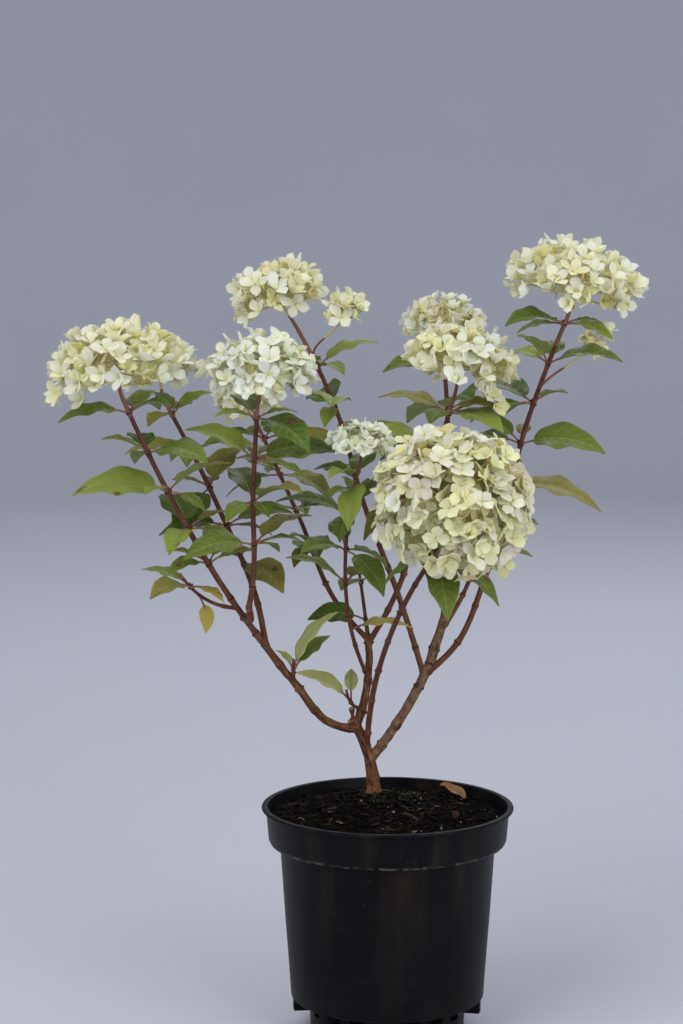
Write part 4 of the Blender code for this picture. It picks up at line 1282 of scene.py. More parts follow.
@dataclass(frozen=True)
class SepalFinish(PatternFinish):
    """A sepal, greener and darker towards its heart, partly its own colour and partly painted shade in
    the floret's middle, with faint veins that fan out.
    """

    mottle_scale: float = 1.3
    grain_scale: float = 9.0
    grain_strength: float = 0.15
    grain_depth: float = 0.0002
    subsurface: float = 0.7
    gloss: float = 0.25
    heart: Colour = (0.7, 0.68, 0.28)

    def layers(self, nodes: Nodes, where: Socket) -> Layers:
        """The heart's tint, partly painted shade in the floret's middle, and the veins.

        Args:
            nodes: The material's nodes.
            where: Not used; the layers follow the sepal's pattern map.

        Yields:
            Each colour and its share.
        """
        spot = nodes.split(nodes.pattern())
        # Partly painted shade: the sepal darkens and yellows towards the floret's middle.
        yield self.heart, nodes.ramp(spot["Y"], 0.45, 0.0, 0.0, 0.7)
        fan = nodes.math("PINGPONG", nodes.math("MULTIPLY", spot["X"], 3.5), 0.5)
        yield self.heart, nodes.ramp(fan, 0.1, 0.02, 0.0, 0.16)


# Leaf tones: name, tone, second tone, roughness and glow. The third is a darker copy of the green and is
# partly painted shade.
LEAF_TONES = (
    ("fresh", (0.185, 0.245, 0.038), (0.25, 0.3, 0.056), 0.44, 0.1),
    ("green", (0.11, 0.16, 0.024), (0.155, 0.205, 0.034), 0.42, 0.08),
    ("deep", (0.068, 0.114, 0.017), (0.098, 0.15, 0.022), 0.4, 0.06),
    ("olive", (0.185, 0.18, 0.034), (0.25, 0.22, 0.046), 0.48, 0.1),
    ("pale", (0.4, 0.43, 0.15), (0.48, 0.48, 0.2), 0.5, 0.12),
    ("yellow", (0.5, 0.38, 0.07), (0.4, 0.33, 0.07), 0.5, 0.12),
    ("under", (0.23, 0.275, 0.085), (0.28, 0.315, 0.11), 0.6, 0.1),
)
# The sepals' tones, each with its second. The dark yellow-tan one, second from last, is painted shade: it
# goes only on florets that lie under others, and stands in for the shade between them.
SEPAL_TONES = (
    ("ivory", (0.9, 0.895, 0.685), (0.885, 0.86, 0.56)),
    ("white", (0.895, 0.935, 0.8), (0.89, 0.915, 0.7)),
    ("cream", (0.895, 0.855, 0.5), (0.87, 0.815, 0.42)),
    ("green", (0.8, 0.88, 0.62), (0.86, 0.9, 0.7)),
    ("lime", (0.88, 0.9, 0.43), (0.89, 0.9, 0.52)),
    ("blush", (0.9, 0.75, 0.64), (0.9, 0.84, 0.6)),
    ("honey", (0.8, 0.72, 0.37), (0.75, 0.63, 0.29)),
    ("tan", (0.66, 0.46, 0.25), (0.76, 0.6, 0.34)),
)

FINISHES = (
    PlasticFinish("black_plastic", (0.0026, 0.0028, 0.0042), (0.0048, 0.0049, 0.0062), 0.44, 24,
                  grain_scale=900, grain_strength=0.12, gloss=0.1),
    Finish("damp_compost", (0.0018, 0.0014, 0.0013), (0.0044, 0.0032, 0.0026), 0.95, 150,
           grain_scale=700, grain_strength=0.9, grain_depth=0.0012, gloss=0.06),
    Finish("chip_dark", (0.0036, 0.0026, 0.0021), (0.0092, 0.006, 0.0043), 0.9, grain_strength=0.6,
           gloss=0.1),
    Finish("chip_red", (0.019, 0.0095, 0.006), (0.042, 0.022, 0.013), 0.85, grain_strength=0.6,
           gloss=0.12),
    Finish("chip_straw", (0.17, 0.125, 0.07), (0.1, 0.065, 0.034), 0.8, grain_strength=0.5,
           gloss=0.2),
    Finish("perlite", (0.32, 0.31, 0.3), (0.18, 0.17, 0.16), 0.9, grain_strength=0.7),
    Finish("moss", (0.022, 0.03, 0.011), (0.048, 0.054, 0.02), 0.9),
    BarkFinish("copper_bark", (0.11, 0.038, 0.015), (0.2, 0.084, 0.034), stretch=(520, 120, 1),
               gloss=0.3),
    BarkFinish("grey_bark", (0.17, 0.09, 0.05), (0.255, 0.156, 0.096), 0.8, stretch=(330, 300, 1),
               gloss=0.2, strips=(0.36, 0.26, 0.175), fissures=(0.075, 0.036, 0.02)),
    CaneFinish("cane_brown", (0.105, 0.032, 0.015), (0.195, 0.078, 0.036), 0.6,
               grain_strength=0.35, stretch=(420, 70, 1)),
    CaneFinish("cane_plum", (0.095, 0.026, 0.017), (0.165, 0.056, 0.032), grain_strength=0.25,
               stretch=(500, 110, 1)),
    CaneFinish("cane_rosy", (0.23, 0.09, 0.055), (0.3, 0.145, 0.08), grain_strength=0.2,
               stretch=(500, 110, 1)),
    Finish("cane_joint", (0.05, 0.018, 0.011), (0.095, 0.038, 0.023), 0.75, 500, gloss=0.2),
    Finish("cut_wood", (0.3, 0.22, 0.13), (0.16, 0.1, 0.055), 0.85, 400),
    Finish("petiole_red", (0.24, 0.075, 0.055), (0.3, 0.155, 0.08), 0.5, 200),
    Finish("stalk_cream", (0.68, 0.6, 0.28), (0.62, 0.46, 0.24), 0.6, 120, subsurface=0.15,
           gloss=0.25),
    *(LeafFinish("leaf_" + name, tone, second, roughness, subsurface=glow)
      for name, tone, second, roughness, glow in LEAF_TONES),
    Finish("leaf_scorch", (0.085, 0.045, 0.018), (0.16, 0.09, 0.032), 0.75, 300),
    Finish("leaf_dry", (0.36, 0.2, 0.075), (0.24, 0.125, 0.045), 0.75, 160),
    *(SepalFinish("sepal_" + name, tone, second) for name, tone, second in SEPAL_TONES),
    Finish("flower_eye", (0.68, 0.54, 0.34), (0.62, 0.36, 0.27), 0.5, 600),
    Finish("studio_floor", (0.55, 0.57, 0.645), (0.54, 0.56, 0.635), 0.9, 2, grain_strength=0.0),
)


def deselect() -> None:
    """Leaves nothing selected, so that an operator acts only on what is picked next."""
    bpy.ops.object.select_all(action="DESELECT")


def pick(obj: Object) -> None:
    """Selects an object alone, and makes it the active one."""
    deselect()
    obj.select_set(True)
    bpy.context.view_layer.objects.active = obj


def edit(obj: Object, action: str = "SELECT") -> None:
    """Opens an object alone in edit mode, with all of its edges selected or deselected.

    Args:
        obj: The object.
        action: SELECT or DESELECT.
    """
    pick(obj)
    bpy.ops.object.mode_set(mode="EDIT")
    bpy.ops.mesh.select_mode(type="EDGE")
    bpy.ops.mesh.select_all(action=action)


def draw_profile(profile: Sequence[tuple[float, float]], facets: int) -> Object:
    """A round form, drawn up ring by ring from a circle by extruding and scaling its edge.

    Args:
        profile: The radius and height of each ring.
        facets: How many sides the circle has.

    Returns:
        The form, in object mode, with its first and last rings still open.
    """
    (radius, height), *rest = profile
    deselect()
    bpy.ops.mesh.primitive_circle_add(vertices=facets, radius=radius, location=(0, 0, height))
    form = bpy.context.object
    edit(form)
    for wider, higher in rest:
        bpy.ops.mesh.extrude_region_move(TRANSFORM_OT_translate={"value": (0, 0, higher - height)})
        scale = wider / radius
        bpy.ops.transform.resize(value=(scale, scale, 1), center_override=(0, 0, higher))
        radius, height = wider, higher
    bpy.ops.object.mode_set(mode="OBJECT")
    bpy.ops.object.transform_apply(location=True, rotation=True, scale=True)
    return form


def close_rings(form: Object) -> None:
    """Fills the open rings of a form, and turns its faces outwards.

    Args:
        form: The form.
    """
    edit(form)
    bpy.ops.mesh.fill_holes(sides=0)
    bpy.ops.mesh.select_all(action="SELECT")
    bpy.ops.mesh.normals_make_consistent(inside=False)
    bpy.ops.object.mode_set(mode="OBJECT")


def apply_all(obj: Object) -> None:
    """Applies an object's modifiers in order."""
    pick(obj)
    for modifier in list(obj.modifiers):
        bpy.ops.object.modifier_apply(modifier=modifier.name)


def paint(form: Object, name: str, finish: Material) -> None:
    """Names a form, smooths it and gives it its one finish.

    Args:
        form: The form.
        name: Its name.
        finish: Its finish.
    """
    form.name = form.data.name = name
    form.data.shade_smooth()
    form.data.materials.clear()
    form.data.materials.append(finish)


def dress(piece: Object, nodes: Sequence[str] = ()) -> None:
    """Hands a finished piece to the frame.

    Args:
        piece: The piece, in place.
        nodes: The solids that it stands for.
    """
    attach(piece, "root")
    if nodes:
        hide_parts(*nodes)
    piece.data.calc_loop_triangles()
    log.info("%s: %d triangles", piece.name, len(piece.data.loop_triangles))


@dataclass
class NurseryPot:
    """The pot: a thin moulded shell with a rolled lip, a collar, and a slotted foot between lugs."""

    finish: Material
    facets: int = 128
    lip_radius: float = 0.11
    lip_thickness: float = 0.003
    lip_roll: Steps = ((0.4, 1.0), (0.1, 0.8), (0.0, 0.5), (0.1, 0.2), (0.4, 0.0))
    round_edge: float = 0.0012
    sharp_edge: float = 0.00045
    edge_angle: float = 24
    crease: float = 40
    oval: float = 0.0022
    oval_turn: float = 0.6
    lugs: int = 9
    lug_turn: float = -13
    lug_foot: float = 0.018
    lug_inner: float = 0.0677
    lug_outer: float = 0.0832
    lug_width: float = 0.009
    slot_size: Place = (0.0096, 0.013, 0.011)

    def profile(self) -> list[tuple[float, float]]:
        """The wall's section, up the outside, over the lip and down the inside.

        Returns:
            The radius and height of each ring.
        """
        lip, thick, soft = self.lip_radius, self.lip_thickness, self.round_edge
        inner = COLLAR_FOOT_RADIUS - WALL
        return [
            (FOOT_RADIUS, 0.0),
            (FOOT_RADIUS + WALL, BODY_FOOT),
            (BODY_FOOT_RADIUS - soft, BODY_FOOT),
            (BODY_FOOT_RADIUS, BODY_FOOT + soft),
            (0.086, 0.05),
            (0.09, 0.105),
            (BODY_TOP_RADIUS, COLLAR_FOOT - WALL),
            (COLLAR_FOOT_RADIUS - WALL, COLLAR_FOOT),
            (COLLAR_FOOT_RADIUS, COLLAR_FOOT + 2 * WALL),
            (COLLAR_TOP_RADIUS, POT_HEIGHT - thick),
            *((lip - back * thick, POT_HEIGHT - down * thick) for back, down in self.lip_roll),
            (COLLAR_TOP_RADIUS - WALL + soft / 2, POT_HEIGHT),
            (COLLAR_TOP_RADIUS - WALL, POT_HEIGHT - soft / 2),
            (inner, COLLAR_FOOT + 3 * WALL),
            (inner - WALL, COLLAR_FOOT + WALL),
            (BODY_TOP_RADIUS - WALL, COLLAR_FOOT),
            (BODY_FOOT_RADIUS - WALL, BODY_FOOT + WALL),
            (FOOT_RADIUS, BODY_FOOT + WALL),
            (FOOT_RADIUS - WALL, WALL),
        ]

    def round_the_foot(self, pot: Object, place: float, height: float, size: Place, step: float,
                       operation: str) -> None:
        """Joins or cuts rounded blocks all round the pot's foot.

        Args:
            pot: The pot.
            place: The blocks' distance from the pot's middle.
            height: The height of their middles.
            size: Their depth, width and height.
            step: How far beyond the lugs' bearings they lie, as a share of the spacing.
            operation: What they do to the pot.
        """
        for count in range(self.lugs):
            turn = radians(self.lug_turn + 360 * (count + step) / self.lugs)
            deselect()
            bpy.ops.mesh.primitive_cube_add(
                size=1, location=(place * cos(turn), place * sin(turn), height),
                rotation=(0, 0, turn))
            block = bpy.context.object
            block.scale = size
            bpy.ops.object.transform_apply(location=False, rotation=True, scale=True)
            rounded = block.modifiers.new("Corners", "BEVEL")
            rounded.width, rounded.segments = self.round_edge, 3
            apply_all(block)
            change = pot.modifiers.new("Block", "BOOLEAN")
            change.operation, change.object = operation, block
            apply_all(pot)
            bpy.data.objects.remove(block, do_unlink=True)

    def build(self) -> None:
        """Models the pot and dresses it."""
        pot = draw_profile(self.profile(), self.facets)
        close_rings(pot)
        top = BODY_FOOT + WALL / 2
        lug_size = (self.lug_outer - self.lug_inner, self.lug_width, top - self.lug_foot)
        self.round_the_foot(pot, (self.lug_inner + self.lug_outer) / 2, (self.lug_foot + top) / 2,
                            lug_size, 0, "UNION")
        self.round_the_foot(pot, FOOT_RADIUS, BODY_FOOT - self.slot_size[2] / 2 - WALL,
                            self.slot_size, 0.5, "DIFFERENCE")
        softened = pot.modifiers.new("Edges", "BEVEL")
        softened.width, softened.segments = self.sharp_edge, 2
        softened.limit_method, softened.angle_limit = "ANGLE", radians(self.edge_angle)
        apply_all(pot)
        for vertex in pot.data.vertices:
            turn = atan2(vertex.co.y, vertex.co.x)
            ease = 1 + self.oval * cos(2 * turn + self.oval_turn) * vertex.co.z / POT_HEIGHT
            vertex.co.x *= ease
            vertex.co.y *= ease
        paint(pot, "nursery_pot", self.finish)
        pot.data.set_sharp_from_angle(angle=radians(self.crease))
        dress(pot, ["pot"])


@dataclass
class Compost:
    """The compost: a lumpy surface, with crumbs, bark chips, fibres, perlite, moss and a dead leaf."""

    finishes: Finishes
    facets: int = 150
    rings: int = 62
    crumbs: int = 2100
    chips: int = 210
    grains: int = 24
    tufts: int = 150
    fibres: int = 44
    fibre_steps: int = 6
    collar: float = COLLAR_FOOT_RADIUS - WALL - GAP
    # The surface's lumps: their height, how many go in a metre, and a shift.
    lumps: tuple[Place, ...] = ((0.0024, 60, 3.0), (0.0016, 190, 7.0), (0.0006, 520, 9.0))

    def height(self, x: float, y: float) -> float:
        """The surface's height at a place, with its lumps.

        Args:
            x: The place's x.
            y: The place's y.

        Returns:
            The height.
        """
        foot, spot = np.array(TRUNK_FOOT), np.array([x, y])
        away = spot - foot
        spread = self.collar**2 - foot @ foot
        mixed = foot @ away
        share = min(1.0, (mixed + sqrt(mixed**2 + spread * (away @ away))) / spread)
        radii = [0, SEAT_RADIUS, *(radius for radius, _ in SOIL_RINGS), self.collar]
        heights = [SOIL_SEAT, SOIL_SEAT, *(height for _, height in SOIL_RINGS), SOIL_EDGE]
        raised = 0.0
        for size, waves, shift in self.lumps:
            raised += size * noise.noise(Vector((x * waves, y * waves, shift)))
        return float(np.interp(share * self.collar, radii, heights)) + raised

    def build(self) -> None:
        """Models the surface and what lies on it."""
        inside = WALL + GAP
        wall = [
            (FOOT_RADIUS - inside, inside),
            (FOOT_RADIUS - GAP, BODY_FOOT + inside),
            (BODY_FOOT_RADIUS - inside, BODY_FOOT + inside),
            (BODY_TOP_RADIUS - inside, COLLAR_FOOT + GAP),
            (self.collar - WALL, COLLAR_FOOT + WALL + GAP),
            (self.collar, COLLAR_FOOT + 3 * WALL + GAP),
            (self.collar, SOIL_EDGE),
        ]
        top = [(self.collar * (1 - (i + 1) / (self.rings + 0.6)), SOIL_EDGE) for i in range(self.rings)]
        fill = draw_profile(wall + top, self.facets)
        close_rings(fill)
        for vertex in fill.data.vertices:
            if vertex.co.z > SOIL_EDGE - 1e-5:
                vertex.co.z = self.height(vertex.co.x, vertex.co.y)
        paint(fill, "compost_fill", self.finishes["damp_compost"])
        dress(fill, ["soil"])
        self.scatter()

    def spot(self, draw: random.Random, margin: float) -> tuple[float, float]:
        """A place on the surface, some way in from the wall and off the trunk.

        Args:
            draw: The source of what varies.
            margin: How far in it is at least.

        Returns:
            Its x and y.
        """
        while True:
            turn, radius = draw.uniform(0, 2 * pi), sqrt(draw.random())
            x = (self.collar - margin) * radius * cos(turn)
            y = (self.collar - margin) * radius * sin(turn)
            if hypot(x - TRUNK_FOOT[0], y - TRUNK_FOOT[1]) > FLARE_RADIUS + margin / 2:
                return x, y

    def lump(self, sculpt: Sculpt, draw: random.Random, size: Place, sink: float, finish: str) -> None:
        """Lays one rough lump on the surface.

        Args:
            sculpt: The piece that it joins.
            draw: The source of its place and shape.
            size: Its half sizes.
            sink: How far it is sunk, as a share of its height.
            finish: The name of its finish.
        """
        form = LUMP * np.array([draw.uniform(0.75, 1.2) for _ in LUMP])[:, None] * np.array(size)
        tilt = Matrix.Rotation(draw.uniform(-0.35, 0.35), 3, "X") @ Matrix.Rotation(
            draw.uniform(-0.35, 0.35), 3, "Y")
        turn = np.array(Matrix.Rotation(draw.uniform(0, 2 * pi), 3, "Z") @ tilt)
        x, y = self.spot(draw, size[0] + 0.001)
        place = np.array([x, y, self.height(x, y) + size[2] * (1 - sink)])
        sculpt.add((form @ turn.T + place, LUMP_SKIN), finish)

    def fibre(self, sculpt: Sculpt, draw: random.Random) -> None:
        """Lays one curved fibre or thin root on the surface.

        Args:
            sculpt: The piece that it joins.
            draw: The source of what varies.
        """
        x, y = self.spot(draw, 0.014)
        turn, bend = draw.uniform(0, 2 * pi), draw.uniform(-36, 36)
        length, line = draw.uniform(0.008, 0.022), []
        for step in range(self.fibre_steps):
            line.append((x, y, self.height(x, y) + 0.0005 + 0.0012 * sin(step * 0.63)))
            turn += radians(bend) / self.fibre_steps
            x += cos(turn) * length / self.fibre_steps
            y += sin(turn) * length / self.fibre_steps
        sculpt.add(tube(line, draw.uniform(0.00014, 0.00038), 5),
                   draw.choice(("chip_straw", "chip_red", "chip_red", "chip_dark")))

    def tuft(self, sculpt: Sculpt, draw: random.Random) -> None:
        """Stands one tuft of moss near the trunk.

        Args:
            sculpt: The piece that it joins.
            draw: The source of what varies.
        """
        turn, away = draw.uniform(0, 2 * pi), abs(draw.gauss(0.016, 0.01)) + FLARE_RADIUS
        x = TRUNK_FOOT[0] + 0.012 + away * cos(turn)
        y = TRUNK_FOOT[1] - 0.004 + away * sin(turn) * 0.7
        foot = np.array([x, y, self.height(x, y) - 0.0005])
        for _ in range(4):
            lean = np.array([draw.uniform(-1, 1), draw.uniform(-1, 1), 1.4]) * draw.uniform(1, 2) / 1e3
            sculpt.add(tube([foot, foot + lean * 0.5, foot + lean], (0.0004, 0.00035, 0.0001), 4), "moss")

    def scatter(self) -> None:
        """Lays crumbs, chips, grains, fibres and moss on the surface, with one dead leaf."""
        draw, kinds = random.Random("compost"), ("damp_compost", "chip_dark")
        sculpt = Sculpt("compost_crumbs", self.finishes, kinds)
        for _ in range(self.crumbs):
            size = draw.uniform(0.0005, 0.0023)
            shape = (size * draw.uniform(1, 1.5), size, size * draw.uniform(0.6, 0.9))
            self.lump(sculpt, draw, shape, 0.4, draw.choice(kinds))
        dress(sculpt.finish())
        names = ("chip_dark", "chip_red", "chip_straw", "perlite", "moss")
        sculpt = Sculpt("bark_chips", self.finishes, names)
        kinds = ("chip_dark",) * 6 + ("chip_red",) * 4 + ("chip_straw",)
        for _ in range(self.chips):
            length = draw.uniform(0.0025, 0.008)
            shape = (length, length * draw.uniform(0.18, 0.42), draw.uniform(0.0004, 0.001))
            self.lump(sculpt, draw, shape, 0.1, draw.choice(kinds))
        for _ in range(self.grains):
            size = draw.uniform(0.0006, 0.0013)
            self.lump(sculpt, draw, (size, size, size * 0.8), 0.3, "perlite")
        for _ in range(self.fibres):
            self.fibre(sculpt, draw)
        for _ in range(self.tufts):
            self.tuft(sculpt, draw)
        dress(sculpt.finish(35))
        self.dead_leaf()

    def dead_leaf(self) -> None:
        """A dry folded leaf that stands on the surface at the back right."""
        across, shares = np.linspace(-1, 1, 9), np.linspace(0.01, 0.985, 26)
        leaf = Leaf("", 0, (0.0775, 0.052, 0.1835), radians(176), radians(64),
                    radians(62), 0.026, 0.0078)
        top = leaf.surface(shares, across)
        curl = 0.0012 * np.sin(shares * 9)[:, None] * across[None] ** 2
        top[..., 2] += curl + 0.0016 * abs(across)[None] * np.sin(shares * pi)[:, None]
        sculpt = Sculpt("dead_leaf", self.finishes, ("leaf_dry", "leaf_scorch"))
        sculpt.add(shell(top, top - np.array([0, 0, 0.0004])), "leaf_dry")
        line, _, _ = leaf.midrib(np.linspace(-0.006, leaf.reach, 16))
        sculpt.add(tube(line, np.linspace(0.0006, 0.0003, 16), 6), "leaf_scorch")
        dress(sculpt.finish())


def knobs(sculpt: Sculpt, skeleton: Skeleton, name: str, joints: Array, size: float) -> None:
    """Sets a pair of worn buds at each joint of a limb, each pair across the last.

    Args:
        sculpt: The piece that they join.
        skeleton: The limbs' routes.
        name: The limb's name.
        joints: The joints' distances along it.
        size: The buds' half height.
    """
    draw, length = random.Random(name + " knobs"), skeleton.length(name)
    for i, joint in enumerate(joints):
        share = joint / length
        if not 0.02 < share < 0.97:
            continue
        turn = basis(skeleton.way(name, share))
        for side in (0, pi):
            angle = side + i * pi / 2 + draw.uniform(-0.4, 0.4)
            out = turn @ np.array([cos(angle), sin(angle), 0])
            form = LUMP * size * draw.uniform(0.6, 1.1) * np.array([0.75, 0.75, 1.0])
            place = skeleton.point(name, share) + out * (skeleton.radius(name, share) + size / 3)
            lean = basis(unit(turn[:, 2] + 0.5 * out))
            sculpt.add((form @ lean.T + place, LUMP_SKIN), "cane_joint")


def bark_spots(along: Array, sides: int, radius: float, rate: float) -> Array:
    """Where the noise of a limb's bark is read, for each point of its skin.

    Args:
        along: The distance of each ring of points along the limb.
        sides: How many points a ring has.
        radius: The radius of the rings in the noise.
        rate: How fast the noise is passed along the limb.

    Returns:
        A grid of places.
    """
    turn = ring_turns(sides)
    ring = np.stack([np.cos(turn), np.sin(turn)], axis=1)[None] * radius
    return np.concatenate([
        np.broadcast_to(ring, (len(along), sides, 2)),
        np.broadcast_to(along[:, None, None] * rate, (len(along), sides, 1)),
    ], axis=2)


@dataclass
class OldWood:
    """The trunk and boughs, with fissured and peeling bark, and collars where limbs fork."""

    skeleton: Skeleton
    finishes: Finishes
    row: float = 0.0011
    sides: int = 40
    sunk: float = 0.01
    collar_height: float = 0.006
    collar_swell: float = 0.24
    joint_spacing: float = 0.031
    joint_width: float = 0.0034
    joint_swell: float = 0.15
    fissure: float = 0.115
    peel: float = 0.045
    bulge: float = 0.09
    flute: float = 0.1
    flute_height: float = 0.014
    stub_swell: float = 0.22
    bud: float = 0.0017

    def build(self) -> None:
        """Models each limb of old wood."""
        for limb in BOUGHS:
            bark = "grey_bark" if limb.name.startswith("right") else "copper_bark"
            sculpt = Sculpt(limb.name + "_wood", self.finishes, (bark, "cane_joint", "cut_wood"))
            self.limb(sculpt, limb)
            if limb.name == "trunk":
                self.pruned_spur(sculpt)
            dress(sculpt.finish(), [limb.name])

    def limb(self, sculpt: Sculpt, limb: Limb) -> None:
        """One limb's bark.

        Args:
            sculpt: The piece that it joins.
            limb: The limb.
        """
        length = self.skeleton.length(limb.name)
        start = 0.0 if limb.parent else -self.sunk / length
        shares = np.linspace(start, 1.0, round(length * (1 - start) / self.row))
        points, radii = self.skeleton.line(limb.name, shares)
        along, seed = shares * length, len(limb.name) * 3.7
        if limb.parent:
            radii = radii * (1 + self.collar_swell * np.exp(-along / self.collar_height))
        draw = random.Random(limb.name + " joints")
        count = 2 + int(length / self.joint_spacing)
        joints = np.arange(count) + [draw.uniform(0.25, 0.7) for _ in range(count)]
        joints *= self.joint_spacing
        nearest = abs(along[:, None] - joints[None]).min(axis=1)
        radii = radii * (1 + self.joint_swell * bump(nearest, self.joint_width))
        where = bark_spots(along, self.sides, 0.0042, 0.16)
        ridges = rough(where, 620, seed) + 0.5 * rough(where, 1500, seed + 5)
        peel = np.clip(rough(where * np.array([1, 1, 2.2]), 330, seed + 11) * 5, -1, 1)
        relief = 1 + self.fissure * ridges + self.peel * peel
        relief = relief + self.bulge * rough(where * np.array([1, 1, 5]), 120, seed + 21)
        if not limb.parent:
            flute = np.cos(3 * ring_turns(self.sides) + 0.5)[None]
            relief = relief + self.flute * (flute * bump(along, self.flute_height)[:, None])
        if limb.name == "right_stub":
            radii = radii * (1 + self.stub_swell * bump(along - length, 0.006))
        ragged = nearest[:-1, None] + 0.004 * ridges[:-1]
        partial = rough(where[:-1] * np.array([1, 1, 3]), 160, seed + 31) > -0.02
        slots = np.where((ragged < self.joint_width * 0.42) & partial, 1, 0).ravel()
        skin = tube(points, radii[:, None] * relief, self.sides, 2 * pi * radii.mean())
        sculpt.add(skin, slots, "cut_wood")
        knobs(sculpt, self.skeleton, limb.name, joints, self.bud)

    def pruned_spur(self, sculpt: Sculpt) -> None:
        """The short cut spur beside the fork at the trunk's head.

        Args:
            sculpt: The piece that it joins.
        """
        foot = self.skeleton.point("trunk", 0.97)
        line = foot + np.outer(np.linspace(0, 1, 12), (-0.0015, -0.004, 0.0125))
        swell = 0.0021 + 0.0006 * np.cos(np.linspace(0, 7, 12))
        sculpt.add(tube(line, swell, 14), "copper_bark", "cut_wood")


@dataclass
class Canes:
    """The canes and twigs: brown wood below and plum shoots above, jointed where leaves sit."""

    skeleton: Skeleton
    leaves: Sequence[Leaf]
    finishes: Finishes
    row: float = 0.0014
    sides: int = 14
    joint_swell: float = 0.26
    joint_width: float = 0.0023
    foot_swell: float = 0.3
    foot_height: float = 0.004
    unevenness: float = 0.05
    plum_from: float = 0.36
    rosy_from: float = 0.93
    worn_bud: float = 0.0013
    bud: float = 0.0021
    tints: tuple[str, ...] = ("cane_brown", "cane_plum", "cane_rosy", "cane_joint", "petiole_red")

    def build(self) -> None:
        """Models the canes of each spray as one piece."""
        for spray in Spray:
            sculpt = Sculpt(spray.value + "_canes", self.finishes, self.tints)
            canes = [limb for limb in CANES if self.skeleton.spray(limb.name) is spray]
            for limb in canes:
                self.cane(sculpt, limb)
            for leaf in self.leaves:
                if self.skeleton.spray(leaf.shoot) is spray:
                    self.petiole(sculpt, leaf)
            dress(sculpt.finish(), [limb.name for limb in canes if limb.bare > 0])

    def joints(self, limb: Limb) -> Array:
        """How far along a cane each of its joints lies, in metres.

        Args:
            limb: The cane.

        Returns:
            The distances, the top one first.
        """
        length = self.skeleton.length(limb.name)
        spacing = PAIR_SPACING * (1 + limb.leaf_scale) / 2
        count = int((length - limb.drop) / spacing) + 1
        return length - limb.drop - spacing * np.arange(count)

    def cane(self, sculpt: Sculpt, limb: Limb) -> None:
        """One cane from its foot to its tip.

        Args:
            sculpt: The piece that it joins.
            limb: The cane.
        """
        length, joints = self.skeleton.length(limb.name), self.joints(limb)
        shares = np.linspace(0.0, 1.0, max(8, round(length / self.row)))
        points, radii = self.skeleton.line(limb.name, shares)
        along = shares * length
        nearest = abs(along[:, None] - joints[None]).min(axis=1)
        swell = 1 + self.joint_swell * bump(nearest, self.joint_width)
        swell += self.foot_swell * np.exp(-along / self.foot_height)
        seed = float(sum(map(ord, limb.name)) % 97)
        where = bark_spots(along, self.sides, 0.0025, 0.2)
        relief = 1 + self.unevenness * rough(where, 700, seed)
        slots = np.digitize(shares[:-1], (self.plum_from, self.rosy_from))
        slots = np.where(nearest[:-1] < self.joint_width * 0.16, 3, slots)
        skin = tube(points, (radii * swell)[:, None] * relief, self.sides)
        sculpt.add(skin, np.repeat(slots, self.sides), "cane_joint")
        knobs(sculpt, self.skeleton, limb.name, joints, self.worn_bud)

    def petiole(self, sculpt: Sculpt, leaf: Leaf) -> None:
        """A leaf's stalk, clasping its cane, with the bud above it.

        Args:
            sculpt: The piece that they join.
            leaf: The leaf.
        """
        ways = np.linspace(0.0, PETIOLE + 0.0015, 10)
        line, _, tops = leaf.midrib(ways)
        radii = 0.0007 + 0.0009 * np.exp(-ways / 0.0022) + 0.0002 * np.linspace(0, 1, 10)
        sculpt.add(tube(line, radii, 8), "petiole_red")
        out = unit(line[3] - line[0])
        up = unit(tops[0] + 0.6 * out)
        radius = self.skeleton.radius(leaf.shoot, 0.7)
        root = line[0] + out * (radius + 0.0006) + tops[0] * 0.0012
        bud = [root, root + up * self.bud * 0.5, root + up * self.bud]
        sculpt.add(tube(bud, (0.0008, 0.0009, 0.0002), 6), "cane_joint")


